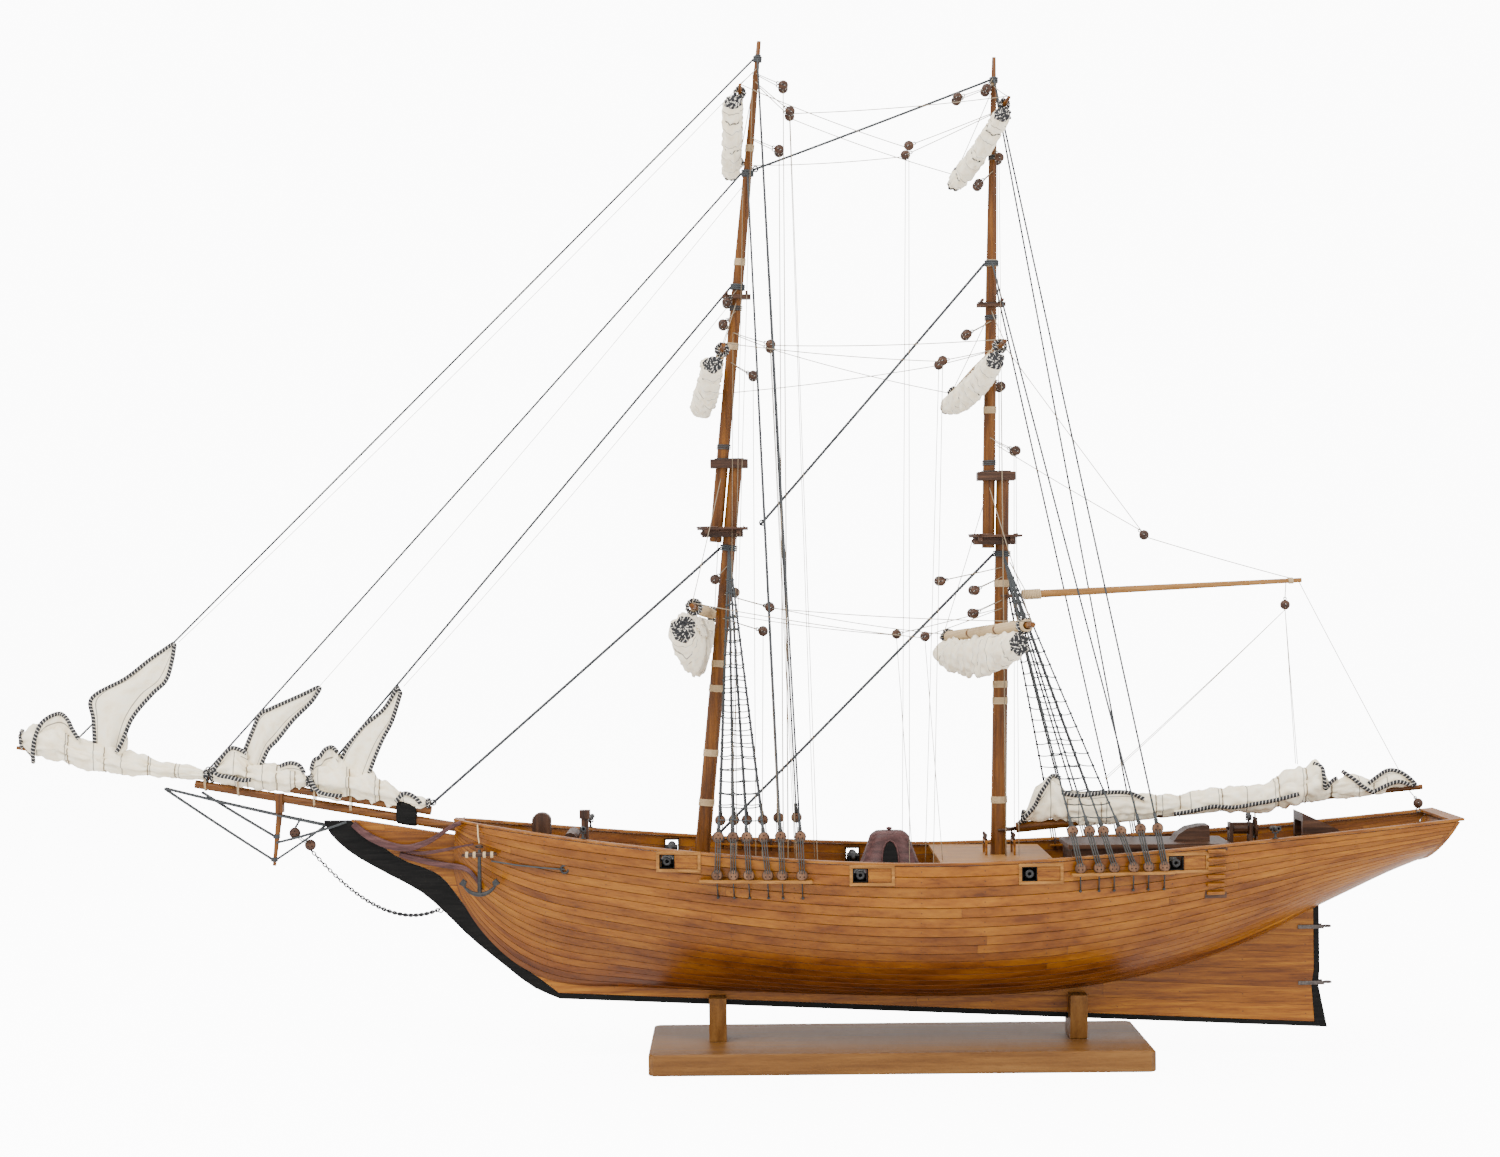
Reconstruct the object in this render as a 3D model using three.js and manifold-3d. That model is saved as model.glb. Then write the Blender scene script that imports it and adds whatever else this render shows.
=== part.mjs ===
// A static display model of a two-masted brig on a wooden stand.
//
// Millimetres, +Z up. The origin is the centre of the stand's underside, X runs aft (the bow points to -X)
// and Y runs to starboard. The hull is planked over a spine with bulkheads, the masts carry their yards with
// furled sails, and each group of ropes is the eye over the masthead with the legs that are spliced to it.

import * as THREE from "three";
import { mergeVertices } from "three/addons/utils/BufferGeometryUtils.js";
import Module from "manifold-3d";

const wasm = await Module();
wasm.setup();

// ---------------------------------------------------------------- driving dimensions

const GAP = 0.35; // between touching pieces
const KEEL_HALF = 3; // half the thickness of the spine, keel and deadwood
const PLANK = 2.4; // hull planking
const BULWARK = 17; // deck to the top of the cap rail
const DECK = 2;

// Sheer: height of the cap rail's top along the hull.
const SHEER = {
  low: 124.6,
  at: 20,
  foreRise: 23,
  foreRun: 285,
  forePower: 1.7,
  aftRise: 20.5,
  aftRun: 310,
  aftPower: 1.6,
};
const CAP = { width: 5, thickness: 1.5, overhang: 0.9 };

// Table of offsets, bow to stern: x and z where the planking meets the keel, x at the rail,
// half-breadth at the rail, and fullness from 0 (a plain V) to 1 (a round bilge).
const OFFSETS = [
  [-268, 118, -266, 5.8, 0],
  [-262, 97, -257, 13, 0.05],
  [-247, 75, -243, 20.5, 0.1],
  [-226, 57, -224, 27.5, 0.15],
  [-200, 47.5, -200, 36.5, 0.25],
  [-160, 45, -160, 48, 0.45],
  [-110, 42.5, -110, 58, 0.7],
  [-40, 39.6, -40, 66.3, 0.95],
  [30, 38, 30, 68.5, 1],
  [90, 40.5, 90, 65.5, 1],
  [140, 47.5, 140, 59, 0.9],
  [185, 59, 185, 51.5, 0.8],
  [222, 73.5, 222, 46, 0.7],
  [250, 88, 252, 43, 0.65],
  [275, 100, 281, 41, 0.7],
  [296, 110, 306, 39.7, 0.8],
  [314, 117.5, 330, 38.5, 0.9],
];
const LAST = OFFSETS.length - 1;

// The keel's underside falls aft in a straight line.
const KEEL = { foreX: -204, foreZ: 38.2, aftX: 256, aftZ: 17, strip: 3, sternX: 252.5, sternZ: 90.5 };

const STAND = {
  length: 298,
  width: 114,
  thickness: 12.5,
  cradleX: 108.5,
  cradleLength: 10.4,
  armFoot: 12.5,
  armTop: 18,
  armZ: 39.5,
};

// Masts: x of the axis at a height, the rake as x per z, and radii.
const FORE = {
  rake: 0.096,
  lower: { x: -117, z: 127, foot: 114.9, head: 363, footR: 4.7, headR: 4 },
  top: { x: -104.2, z: 347, foot: 313.5, head: 617, footR: 3.8, headR: 1.3 },
  topZ: 321,
  capZ: 361,
};
const MAIN = {
  rake: 0.021,
  lower: { x: 62.4, z: 131, foot: 109.3, head: 355, footR: 4.9, headR: 4 },
  top: { x: 58.2, z: 328, foot: 308.5, head: 606, footR: 3.8, headR: 1.2 },
  topZ: 315,
  capZ: 352,
};

// How late a mast thins: 1 is a straight taper.
const TAPER = { lower: 1, top: 2.6 };

// Yards, one row each: name, mast and part of it, centre in front of the mast's axis, height, half length,
// middle radius, brace and tilt in degrees (port end aft and port end up), and the furled sail's depth in
// the middle, its depth at the ends and its thickness.
const YARDS = [
  ["fore_course", FORE, "lower", 11.5, 272, 118, 3, -2.5, 2, 38, 19, 17],
  ["fore_topsail", FORE, "top", 9, 416, 84, 2.4, 4, 7, 21, 12, 15],
  ["fore_topgallant", FORE, "top", 7.5, 564, 56, 1.9, 1, 18, 17, 10, 13],
  ["main_course", MAIN, "lower", 10, 258, 112, 3, 9.5, 3, 25, 15, 15],
  ["main_topsail", MAIN, "top", 8.5, 416, 84, 2.4, 7, 7.5, 19, 12, 13],
  ["main_topgallant", MAIN, "top", 7.5, 556, 58, 1.9, 13, 16.5, 15, 10, 12],
].map(([name, mast, part, ahead, z, half, r, brace, tilt, bunt, end, thick]) => {
  return { name, mast, part, ahead, z, half, r, brace, tilt, bunt, end, thick };
});
const SAIL = { reach: 0.84, offMast: 1.2 }; // share of the yard that is covered, and clearance to the mast

const BOOM = { foreX: 73, foreZ: 139, aftX: 319.5, aftZ: 161.4, foreR: 3.2, aftR: 1.5 };
const GAFF = { foreX: 77.5, foreZ: 280, aftX: 247.5, aftZ: 287.4, foreR: 2.5, aftR: 1.4 };

const BOWSPRIT = { innerX: -238, innerZ: 137.6, outerX: -424, outerZ: 170, innerR: 3, outerR: 2.5 };
const JIB_BOOM = { innerX: -281, innerZ: 152.6, outerX: -532, outerZ: 193, innerR: 2.8, outerR: 1.1 };

// Channels: x range along the hull, height of the board, and x of each deadeye.
const CHANNELS = [
  { name: "fore", x0: -118, x1: -52, z: 114.6, eyes: [-107.5, -98, -89, -78, -69.5, -58] },
  { name: "main", x0: 99, x1: 160, z: 117.2, eyes: [104, 115, 124, 135.5, 144.5, 154] },
];
const DEADEYE = { r: 3.1, thick: 2.6, above: 25 };

// Gun ports: x of the forward edge of each opening, and the opening's size.
const PORTS = { x: [-141.5, -28.5, 70, 157], length: 9, height: 8.5, belowRail: 3.6 };

const ROPE = { shroud: 0.55, stay: 0.8, light: 0.5 };

// ---------------------------------------------------------------- materials

function finish(color, roughness, metalness = 0) {
  return new THREE.MeshStandardMaterial({ color, roughness, metalness });
}
const HULL_WOOD = finish(0xb9783a, 0.4);
const SPAR_WOOD = finish(0xa8662c, 0.45);
const STAND_WOOD = finish(0xb08458, 0.55);
const DARK_WOOD = finish(0x6b4433, 0.55);
const BLACK = finish(0x1b1b1c, 0.5);
const CANVAS = finish(0xe9e2d0, 0.9);
const ROPE_DARK = finish(0x33383a, 0.85);
const IRON = finish(0x22262a, 0.5, 0.6);

// ---------------------------------------------------------------- shape helpers

const model = new THREE.Group();

function solid(geometry) {
  const bare = geometry.clone();
  bare.deleteAttribute("normal");
  bare.deleteAttribute("uv");
  const merged = mergeVertices(bare, 1e-3);
  return new wasm.Manifold(
    new wasm.Mesh({
      numProp: 3,
      vertProperties: merged.attributes.position.array,
      triVerts: new Uint32Array(merged.index.array),
    }),
  );
}

function geometryOf(body) {
  const mesh = body.getMesh();
  return new THREE.BufferGeometry()
    .setAttribute("position", new THREE.BufferAttribute(new Float32Array(mesh.vertProperties), 3))
    .setIndex(new THREE.BufferAttribute(new Uint32Array(mesh.triVerts), 1));
}

const join = (parts) => parts.reduce((whole, part) => whole.add(part));

function piece(name, shape, material) {
  const mesh = new THREE.Mesh(shape.isBufferGeometry ? shape : geometryOf(shape), material);
  mesh.name = name;
  mesh.geometry.computeVertexNormals();
  model.add(mesh);
  return mesh;
}

const at = (x, y, z) => new THREE.Vector3(x, y, z);

// A tapered round bar between two points.
function bar(from, to, fromR, toR = fromR, sides = 8) {
  const along = to.clone().sub(from);
  const shape = new THREE.CylinderGeometry(toR, fromR, along.length(), sides);
  shape.applyQuaternion(new THREE.Quaternion().setFromUnitVectors(at(0, 1, 0), along.clone().normalize()));
  return shape.translate((from.x + to.x) / 2, (from.y + to.y) / 2, (from.z + to.z) / 2);
}

function block(x0, x1, y0, y1, z0, z1) {
  const middle = [(x0 + x1) / 2, (y0 + y1) / 2, (z0 + z1) / 2];
  return new THREE.BoxGeometry(x1 - x0, y1 - y0, z1 - z0).translate(...middle);
}

// A closed skin through a row of rings with equal, even numbers of points, and flat ends.
function loft(rings) {
  const count = rings[0].length;
  const index = [];
  const quad = (a, b, c, d) => index.push(a, b, c, a, c, d);
  for (let i = 0; i + 1 < rings.length; i += 1)
    for (let k = 0; k < count; k += 1) {
      const a = i * count + k;
      const b = i * count + ((k + 1) % count);
      quad(a, b, b + count, a + count);
    }
  const last = (rings.length - 1) * count;
  for (let k = 0; k < count / 2 - 1; k += 1) {
    const [a, b, c, d] = [k, k + 1, count - 2 - k, count - 1 - k];
    quad(a, d, c, b);
    quad(last + a, last + b, last + c, last + d);
  }
  const points = rings.flat();
  let volume = 0;
  for (let i = 0; i < index.length; i += 3) {
    const [a, b, c] = index.slice(i, i + 3).map((v) => points[v]);
    volume += a.dot(b.clone().cross(c));
  }
  if (volume < 0) index.reverse();
  const position = new Float32Array(points.flatMap((p) => p.toArray()));
  const geometry = new THREE.BufferGeometry();
  geometry.setAttribute("position", new THREE.BufferAttribute(position, 3));
  return geometry.setIndex(index);
}

function outlineOf(points) {
  return new THREE.Shape(points.map(([a, b]) => new THREE.Vector2(a, b)));
}

// A plate with its outline in X and Z, between two values of Y.
function sidePlate(points, y0, y1, bevel = 0) {
  const options = {
    depth: y1 - y0 - 2 * bevel,
    bevelEnabled: bevel > 0,
    bevelSize: bevel,
    bevelThickness: bevel,
    bevelSegments: 1,
    bevelOffset: -bevel,
  };
  const plate = new THREE.ExtrudeGeometry(outlineOf(points), options);
  return plate.rotateX(Math.PI / 2).translate(0, y1 - bevel, 0);
}

// A plate with its outline in Y and Z, between two values of X.
function crossPlate(points, x0, x1) {
  const shape = new THREE.ExtrudeGeometry(outlineOf(points), { depth: x1 - x0, bevelEnabled: false });
  return shape.rotateX(Math.PI / 2).rotateZ(Math.PI / 2).translate(x0, 0, 0);
}

function smooth(points, steps) {
  const curve = new THREE.SplineCurve(points.map(([a, b]) => new THREE.Vector2(a, b)));
  return curve.getPoints(steps).map((p) => [p.x, p.y]);
}

// ---------------------------------------------------------------- hull form

function railHeight(x) {
  const run = x - SHEER.at;
  return run < 0
    ? SHEER.low + SHEER.foreRise * (-run / SHEER.foreRun) ** SHEER.forePower
    : SHEER.low + SHEER.aftRise * (run / SHEER.aftRun) ** SHEER.aftPower;
}

const deckHeight = (x) => railHeight(x) - BULWARK;

// The offsets between two stations, by a Catmull-Rom curve through the table.
function station(s) {
  const i = Math.min(Math.floor(s), LAST - 1);
  const t = s - i;
  const row = (k) => OFFSETS[Math.max(0, Math.min(LAST, k))];
  return OFFSETS[0].map((_, c) => {
    const [a, b, d, e] = [row(i - 1)[c], row(i)[c], row(i + 1)[c], row(i + 2)[c]];
    const bend = (2 * a - 5 * b + 4 * d - e) * t * t + (3 * b - a - 3 * d + e) * t ** 3;
    return 0.5 * (2 * b + (d - a) * t + bend);
  });
}

// The point on the hull's outside at station s, from the keel (t = 0) to the planking's top (t = 1).
function outside(s, t) {
  const [keelX, keelZ, railX, half, full] = station(s);
  const topZ = railHeight(railX) - CAP.thickness - GAP;
  const root = KEEL_HALF + GAP;
  const swell = (1 - (1 - t) ** (1.25 + 1.15 * full)) ** (1 / (1 + 0.6 * full));
  return at(keelX + (railX - keelX) * t, root + (half - root) * swell, keelZ + (topZ - keelZ) * t);
}

// The same point moved square to the section, into the hull.
function inside(s, t, depth) {
  const step = 0.01;
  const a = outside(s, Math.max(0, t - step));
  const b = outside(s, Math.min(1, t + step));
  const length = Math.hypot(b.y - a.y, b.z - a.z);
  const p = outside(s, t);
  const y = p.y - (depth * (b.z - a.z)) / length;
  const z = p.z + (depth * (b.y - a.y)) / length;
  return at(p.x, Math.max(KEEL_HALF + GAP, y), z);
}

// Where the inside is at a height, as [x, y].
function insideAt(s, height, depth) {
  let low = 0;
  let high = 1;
  for (let i = 0; i < 24; i += 1) {
    const middle = (low + high) / 2;
    if (inside(s, middle, depth).z < height(inside(s, middle, depth).x)) low = middle;
    else high = middle;
  }
  const p = inside(s, low, depth);
  return [p.x, p.y];
}

// One side's planking as a closed shell, with its gun ports cut through.
function planking(side) {
  const rows = 22;
  const columns = 7;
  const rings = [];
  for (let i = 0; i <= rows; i += 1) {
    const s = (i / rows) * LAST;
    const levels = Array.from({ length: columns + 1 }, (_, j) => (j / columns) ** 1.25);
    const skin = levels.map((t) => outside(s, t));
    const lining = levels.map((t) => inside(s, t, PLANK)).reverse();
    rings.push([...skin, ...lining].map((p) => at(p.x, side * p.y, p.z)));
  }
  const sill = (x) => railHeight(x) - PORTS.belowRail - PORTS.height;
  const [y0, y1] = side > 0 ? [30, 90] : [-90, -30];
  const opening = (x) => block(x, x + PORTS.length, y0, y1, sill(x), sill(x) + PORTS.height);
  const openings = PORTS.x.map((x) => solid(opening(x)));
  return solid(loft(rings)).subtract(join(openings));
}

// A slab inside the hull that follows the sheer, from one station to another.
function deckSlab(from, to, low, high, clearance) {
  const steps = 22;
  const rings = [];
  for (let i = 0; i <= steps; i += 1) {
    const s = from + ((to - from) * i) / steps;
    const [x, y] = insideAt(s, (u) => deckHeight(u) - DECK, PLANK + clearance);
    const z = deckHeight(x);
    rings.push([at(x, y, z + high), at(x, -y, z + high), at(x, -y, z + low), at(x, y, z + low)]);
  }
  return solid(loft(rings));
}

const underDeck = deckSlab(0.9, LAST - 0.2, -20, GAP, -6);
const onDeck = (body) => body.subtract(underDeck);

// ---------------------------------------------------------------- stand

function baseBoard() {
  const [l, w] = [STAND.length / 2, STAND.width / 2];
  const corner = 3;
  const edge = 0.8;
  const right = [[l - corner, -w], [l, -w + corner], [l, w - corner], [l - corner, w]];
  const left = right.map(([x, y]) => [-x, -y]);
  const outline = [...right, ...left];
  const options = {
    depth: STAND.thickness - 2 * edge,
    bevelSize: edge,
    bevelThickness: edge,
    bevelSegments: 1,
    bevelOffset: -edge,
  };
  return new THREE.ExtrudeGeometry(outlineOf(outline), options).translate(0, 0, edge);
}

const keelSlope = (KEEL.aftZ - KEEL.foreZ) / (KEEL.aftX - KEEL.foreX);
const keelBottom = (x) => KEEL.foreZ + keelSlope * (x - KEEL.foreX);

// A block whose two arms lean outwards past a slot for the keel.
function cradle(x) {
  const slot = KEEL_HALF + 0.5;
  const seat = keelBottom(x + STAND.cradleLength / 2) - GAP;
  const foot = STAND.thickness + GAP;
  const half = [[STAND.armFoot, foot], [STAND.armTop, STAND.armZ], [slot, STAND.armZ], [slot, seat]];
  const mirrored = half.map(([y, z]) => [-y, z]).reverse();
  return crossPlate([...half, ...mirrored], x - STAND.cradleLength / 2, x + STAND.cradleLength / 2);
}

// ---------------------------------------------------------------- keel, strip and transom

const STEM_OUTER = [
  [-346, 147], [-341, 138], [-328, 126.5], [-308, 115], [-288, 104],
  [-274, 92], [-258, 76], [-240, 61], [-221, 46], [-204, 38.2],
];
const STEM_INNER = [
  [-330, 147], [-317, 136], [-300, 123.5], [-282, 116.5], [-272.5, 109.5],
  [-261, 94], [-250, 79], [-233, 62], [-218, 51.5], [-205, 41.5],
];

// The black edging: cutwater, underside of the keel and sternpost in one line.
function keelStrip() {
  const { aftX, aftZ, strip, sternX, sternZ } = KEEL;
  const outer = [[aftX + 4, aftZ], [aftX - 1, 42], [sternX + 3.2, 52], [sternX + 3.2, sternZ]];
  const inner = [[sternX, sternZ], [sternX, 52], [sternX - 1.5, 42], [sternX, aftZ + strip]];
  const stem = [smooth(STEM_OUTER, 20), smooth(STEM_INNER, 20).reverse()];
  return sidePlate([...stem[0], ...outer, ...inner, ...stem[1]], -KEEL_HALF, KEEL_HALF);
}

// Spine, keel, deadwood and the knee of the head, with the bulkheads slotted on to it.
function keelFrame() {
  const { sternX, sternZ, aftZ, strip } = KEEL;
  const lower = smooth(STEM_INNER, 20).map(([x, z]) => [x + GAP, z + GAP]);
  const under = (x) => deckHeight(x) - DECK - GAP;
  const post = [[sternX - GAP, aftZ + strip + GAP], [sternX - 1.5 - GAP, 42], [sternX - GAP, 52]];
  const counter = [[sternX - GAP, sternZ], [264, 95], [280, 102.6], [297, 110.6], [311, 116.6]];
  const stern = [...post, ...counter];
  const top = [];
  for (let x = 308; x >= -240; x -= 34.25) top.push([x, under(x)]);
  const head = [[-252, under(-252)], [-262, 137], [-270, 138.2], [-325, 147.2]];
  const parts = [solid(sidePlate([...lower, ...stern, ...top, ...head], -KEEL_HALF, KEEL_HALF))];
  for (const s of [4, 5, 6, 7, 8, 9, 10, 11.2]) {
    const x = station(s)[0];
    const points = [];
    for (let t = 0.06; t <= 1; t += 0.17) {
      const p = inside(s, t, PLANK + 1.8);
      if (p.z < under(x) - 1) points.push([p.y, p.z]);
    }
    const [, y] = insideAt(s, () => under(x) - 1, PLANK + 1.8);
    points.push([y, under(x) - 1]);
    const mirrored = points.map(([a, b]) => [-a, b]).reverse();
    parts.push(solid(crossPlate([...points, ...mirrored], x - 1.5, x + 1.5)));
  }
  return join(parts);
}

// The flat stern, in the plane of the last station.
function transom() {
  const points = [];
  for (let j = 0; j <= 10; j += 1) {
    const p = outside(LAST, j / 10);
    points.push([p.y, p.z]);
  }
  const [keelX, keelZ, railX] = OFFSETS[LAST];
  const top = points[10][1];
  const outline = [...points, ...points.map(([y, z]) => [-y, z]).reverse()];
  const shape = crossPlate(outline, GAP, GAP + 2.4);
  const position = shape.attributes.position;
  for (let i = 0; i < position.count; i += 1) {
    const rise = (position.getZ(i) - keelZ) / (top - keelZ);
    position.setX(i, position.getX(i) + keelX + (railX - keelX) * rise);
  }
  return shape;
}

// One rail all round: a strip along each side, joined over the stem and across the stern.
function capRail() {
  const steps = 26;
  const strip = (side) => {
    const rings = [];
    for (let i = 0; i <= steps; i += 1) {
      const { x, y } = outside((i / steps) * LAST, 1);
      const [outer, inner] = [side * (y + CAP.overhang), side * (y + CAP.overhang - CAP.width)];
      const [top, under] = [railHeight(x), railHeight(x) - CAP.thickness];
      rings.push([at(x, outer, top), at(x, inner, top), at(x, inner, under), at(x, outer, under)]);
    }
    return solid(loft(rings));
  };
  const crossRail = (x0, x1, half) => {
    const [z0, z1] = [railHeight(x0), railHeight(x1)];
    const corners = (x, z) => [at(x, half, z), at(x, -half, z), at(x, -half, z - CAP.thickness)];
    const ring = (x, z) => [...corners(x, z), at(x, half, z - CAP.thickness)];
    return solid(loft([ring(x0, z0), ring(x1, z1)]));
  };
  const [bow, stern] = [OFFSETS[0], OFFSETS[LAST]];
  const overStem = crossRail(bow[2] - 1, bow[2] + 5, bow[3] + CAP.overhang);
  const overStern = crossRail(stern[2] - 3, stern[2] + 5, stern[3] + CAP.overhang);
  return join([strip(-1), strip(1), overStem, overStern]);
}

// ---------------------------------------------------------------- masts and their fittings

const axisX = (mast, part, z) => mast[part].x + (z - mast[part].z) * mast.rake;
const onAxis = (mast, part, z) => at(axisX(mast, part, z), 0, z);

function radiusAt(mast, part, z) {
  const { foot, head, footR, headR } = mast[part];
  const share = Math.max(0, (z - foot) / (head - foot));
  return footR + (headR - footR) * share ** TAPER[part];
}

// A mast's round spar, straight or thinning late, with a ring of points at each step of its taper.
function mastSpar(mast, part) {
  const { foot, head } = mast[part];
  const low = onAxis(mast, part, foot);
  const high = onAxis(mast, part, head);
  const length = high.distanceTo(low);
  const shape = new THREE.CylinderGeometry(1, 1, length, 12, 10);
  const place = shape.getAttribute("position");
  for (let i = 0; i < place.count; i += 1) {
    const share = Math.min(1, Math.max(0, 0.5 + place.getY(i) / length));
    const r = radiusAt(mast, part, foot + share * (head - foot));
    place.setX(i, place.getX(i) * r);
    place.setZ(i, place.getZ(i) * r);
  }
  const along = high.clone().sub(low).normalize();
  shape.applyQuaternion(new THREE.Quaternion().setFromUnitVectors(at(0, 1, 0), along));
  return shape.translate((low.x + high.x) / 2, (low.y + high.y) / 2, (low.z + high.z) / 2);
}

// A straight clearance hole along a mast, between two heights.
function mastHole(mast, part, z0, z1) {
  const r = radiusAt(mast, part, z0) + GAP;
  return solid(bar(onAxis(mast, part, z0), onAxis(mast, part, z1), r, r, 12));
}

// The top: a platform with a rounded front on two trestletrees and two crosstrees.
function mastTop(mast) {
  const z = mast.topZ;
  const middle = (axisX(mast, "lower", z) + axisX(mast, "top", z)) / 2;
  const floor = new THREE.Shape();
  floor.moveTo(middle + 15, -17).lineTo(middle + 15, 17).lineTo(middle - 3, 17);
  floor.absellipse(middle - 3, 0, 13, 17, Math.PI / 2, (3 * Math.PI) / 2, false, 0);
  const platform = new THREE.ExtrudeGeometry(floor, { depth: 1.6, bevelEnabled: false, curveSegments: 8 });
  const parts = [solid(platform.translate(0, 0, z))];
  for (const y of [-5.8, 5.8]) {
    parts.push(solid(block(middle - 12, middle + 13, y - 1.2, y + 1.2, z - 4.6, z + 0.2)));
  }
  for (const x of [middle - 9, middle + 10]) {
    parts.push(solid(block(x - 1.2, x + 1.2, -15, 15, z - 2.4, z + 0.2)));
  }
  const whole = join(parts);
  return whole.subtract(mastHole(mast, "lower", z - 8, z + 6)).subtract(mastHole(mast, "top", z - 8, z + 6));
}

function mastCap(mast) {
  const z = mast.capZ;
  const middle = (axisX(mast, "lower", z) + axisX(mast, "top", z)) / 2;
  const plate = solid(block(middle - 11.5, middle + 11.5, -6.5, 6.5, z - 2.7, z + 2.7));
  return plate.subtract(mastHole(mast, "lower", z - 6, z + 6)).subtract(mastHole(mast, "top", z - 6, z + 6));
}

// ---------------------------------------------------------------- yards, boom and gaff

// A spar that tapers to both ends, along Y, as a lathe profile closed on its axis.
function yardSpar(half, r) {
  const outer = [[r * 0.5, -half], [r * 0.85, -half * 0.5], [r, 0], [r * 0.85, half * 0.5], [r * 0.5, half]];
  const profile = [[0, -half], ...outer, [0, half]];
  return new THREE.LatheGeometry(profile.map(([a, b]) => new THREE.Vector2(a, b)), 10);
}

// A rounded eight-point section: centre, half width across, half height.
function bundleRing(place, halfWidth, halfHeight) {
  return Array.from({ length: 8 }, (_, k) => {
    const a = ((k + 0.5) * Math.PI) / 4;
    return place(halfWidth * 1.08 * Math.cos(a), halfHeight * 1.08 * Math.sin(a));
  });
}

// A furled sail gathered under its yard, deepest in the middle.
function furledSail({ half, r, bunt, end, thick }) {
  const reach = half * SAIL.reach;
  const rings = [];
  for (let u = -1; u <= 1.001; u += 0.25) {
    const depth = end + (bunt - end) * (1 - u * u);
    const middle = -r - GAP - depth / 2;
    rings.push(bundleRing((x, z) => at(x, u * reach, middle + z), thick / 2, depth / 2));
  }
  return loft(rings);
}

// A yard and its sail, in a group turned to the yard's brace and tilt.
function crossYard(yard) {
  const { name, mast, part, ahead, z, half, r, brace, tilt, bunt, thick } = yard;
  const sling = new THREE.Group();
  sling.position.set(axisX(mast, part, z) - ahead, 0, z);
  sling.rotation.set(THREE.MathUtils.degToRad(-tilt), 0, THREE.MathUtils.degToRad(brace), "ZXY");
  const spar = new THREE.Mesh(yardSpar(half, r), SPAR_WOOD);
  spar.name = name + "_yard";
  const sail = new THREE.Mesh(furledSail(yard), CANVAS);
  sail.name = name + "_sail";
  sail.position.x = -thick / 2 + ahead - radiusAt(mast, part, z) - SAIL.offMast - mast.rake * bunt;
  sling.add(spar, sail);
  model.add(sling);
}

// Bundles on the boom and the jib boom: rows of x, height of the middle above the spar's axis, half height.
const BOOM_SAIL = [
  [78.5, 6, 5.5], [86, 14, 12], [95, 16, 14.5], [106, 10, 10.5], [122, 6, 8.8], [150, 5.5, 7.8],
  [172, 4.6, 6.6], [196, 5.2, 7.8], [220, 5.2, 8.2], [240, 9, 12.5], [255, 10.5, 13.5], [264, 4.5, 5.2], [278, 5, 7.4],
  [290, 3.2, 4.6], [303, 5.5, 5.2], [313, 2.6, 2.2],
];
const FLYING_JIB = [
  [-528, 5, 6], [-520, 5, 10], [-509, 6, 11], [-493, 2.5, 8.6], [-477, 1.5, 8.5], [-461, 0.5, 7.5],
  [-444, 0, 5.5], [-430, 0.5, 4.5], [-418, 1, 3.2],
];
const JIB = [
  [-413, 2, 4.4], [-407, 6, 8.5], [-399, 8, 10.4], [-391, 6, 8.2], [-384, 5.6, 8], [-377, 6.2, 8.7],
  [-368, 5.6, 8], [-361, 6.5, 6.4], [-356, 6.5, 3.2],
];
const FORE_STAYSAIL = [
  [-352, 6.6, 7.5], [-347, 10.5, 12.3], [-340, 11.5, 13.3], [-331, 10.5, 12], [-321, 9.5, 10],
  [-310, 6.5, 6.8], [-299, 4.1, 4.5], [-288, 3.8, 3.5], [-283.5, 3.8, 2.6],
];
const SPAR_ROOM = 0.6; // between the cloth and the spar that it is gathered round

// A sail gathered round a spar: axisZ gives the spar's height at x.
function bundle(rows, axisZ) {
  return solid(
    loft(
      rows.map(([x, above, half]) => {
        const middle = axisZ(x) + above;
        return bundleRing((y, z) => at(x, y, middle + z), 2.6 + half * 0.5, half);
      }),
    ),
  );
}

const boomZ = (x) => BOOM.foreZ + ((x - BOOM.foreX) * (BOOM.aftZ - BOOM.foreZ)) / (BOOM.aftX - BOOM.foreX);

function boomSail() {
  const { foreX, foreZ, aftX, aftZ, foreR, aftR } = BOOM;
  const room = bar(at(foreX, 0, foreZ), at(aftX, 0, aftZ), foreR + SPAR_ROOM, aftR + SPAR_ROOM, 12);
  return bundle(BOOM_SAIL, boomZ).subtract(solid(room));
}

const jibBoomSlope = (JIB_BOOM.outerZ - JIB_BOOM.innerZ) / (JIB_BOOM.outerX - JIB_BOOM.innerX);
const jibBoomZ = (x) => JIB_BOOM.innerZ + (x - JIB_BOOM.innerX) * jibBoomSlope;

// A headsail gathered round the jib boom, with its head hauled part of the way up beside its stay.
function headsail(rows, head, stay) {
  const { innerX, innerZ, outerX, outerZ, innerR, outerR } = JIB_BOOM;
  const inner = at(innerX + 1, 0, innerZ + jibBoomSlope);
  const outer = at(outerX - 1, 0, outerZ - jibBoomSlope);
  const room = bar(inner, outer, innerR + SPAR_ROOM, outerR + SPAR_ROOM, 12);
  const beside = bar(stay.head, stay.foot, ROPE.stay + GAP, ROPE.stay + GAP, 6);
  const cloth = bundle(rows, jibBoomZ).add(solid(sidePlate(head, 1.2, 2.8)));
  return cloth.subtract(solid(room)).subtract(solid(beside));
}

// ---------------------------------------------------------------- ropes

// A rope eye that sits round a spar without touching it.
function ropeEye(mast, part, z, height) {
  const inner = radiusAt(mast, part, z) + GAP;
  const disc = (half, r) => solid(bar(onAxis(mast, part, z - half), onAxis(mast, part, z + half), r, r, 8));
  return disc(height / 2, inner + 1.1).subtract(disc(height, inner));
}

const rope = (from, to, r) => solid(bar(from, to, r, r, 4));

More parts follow.
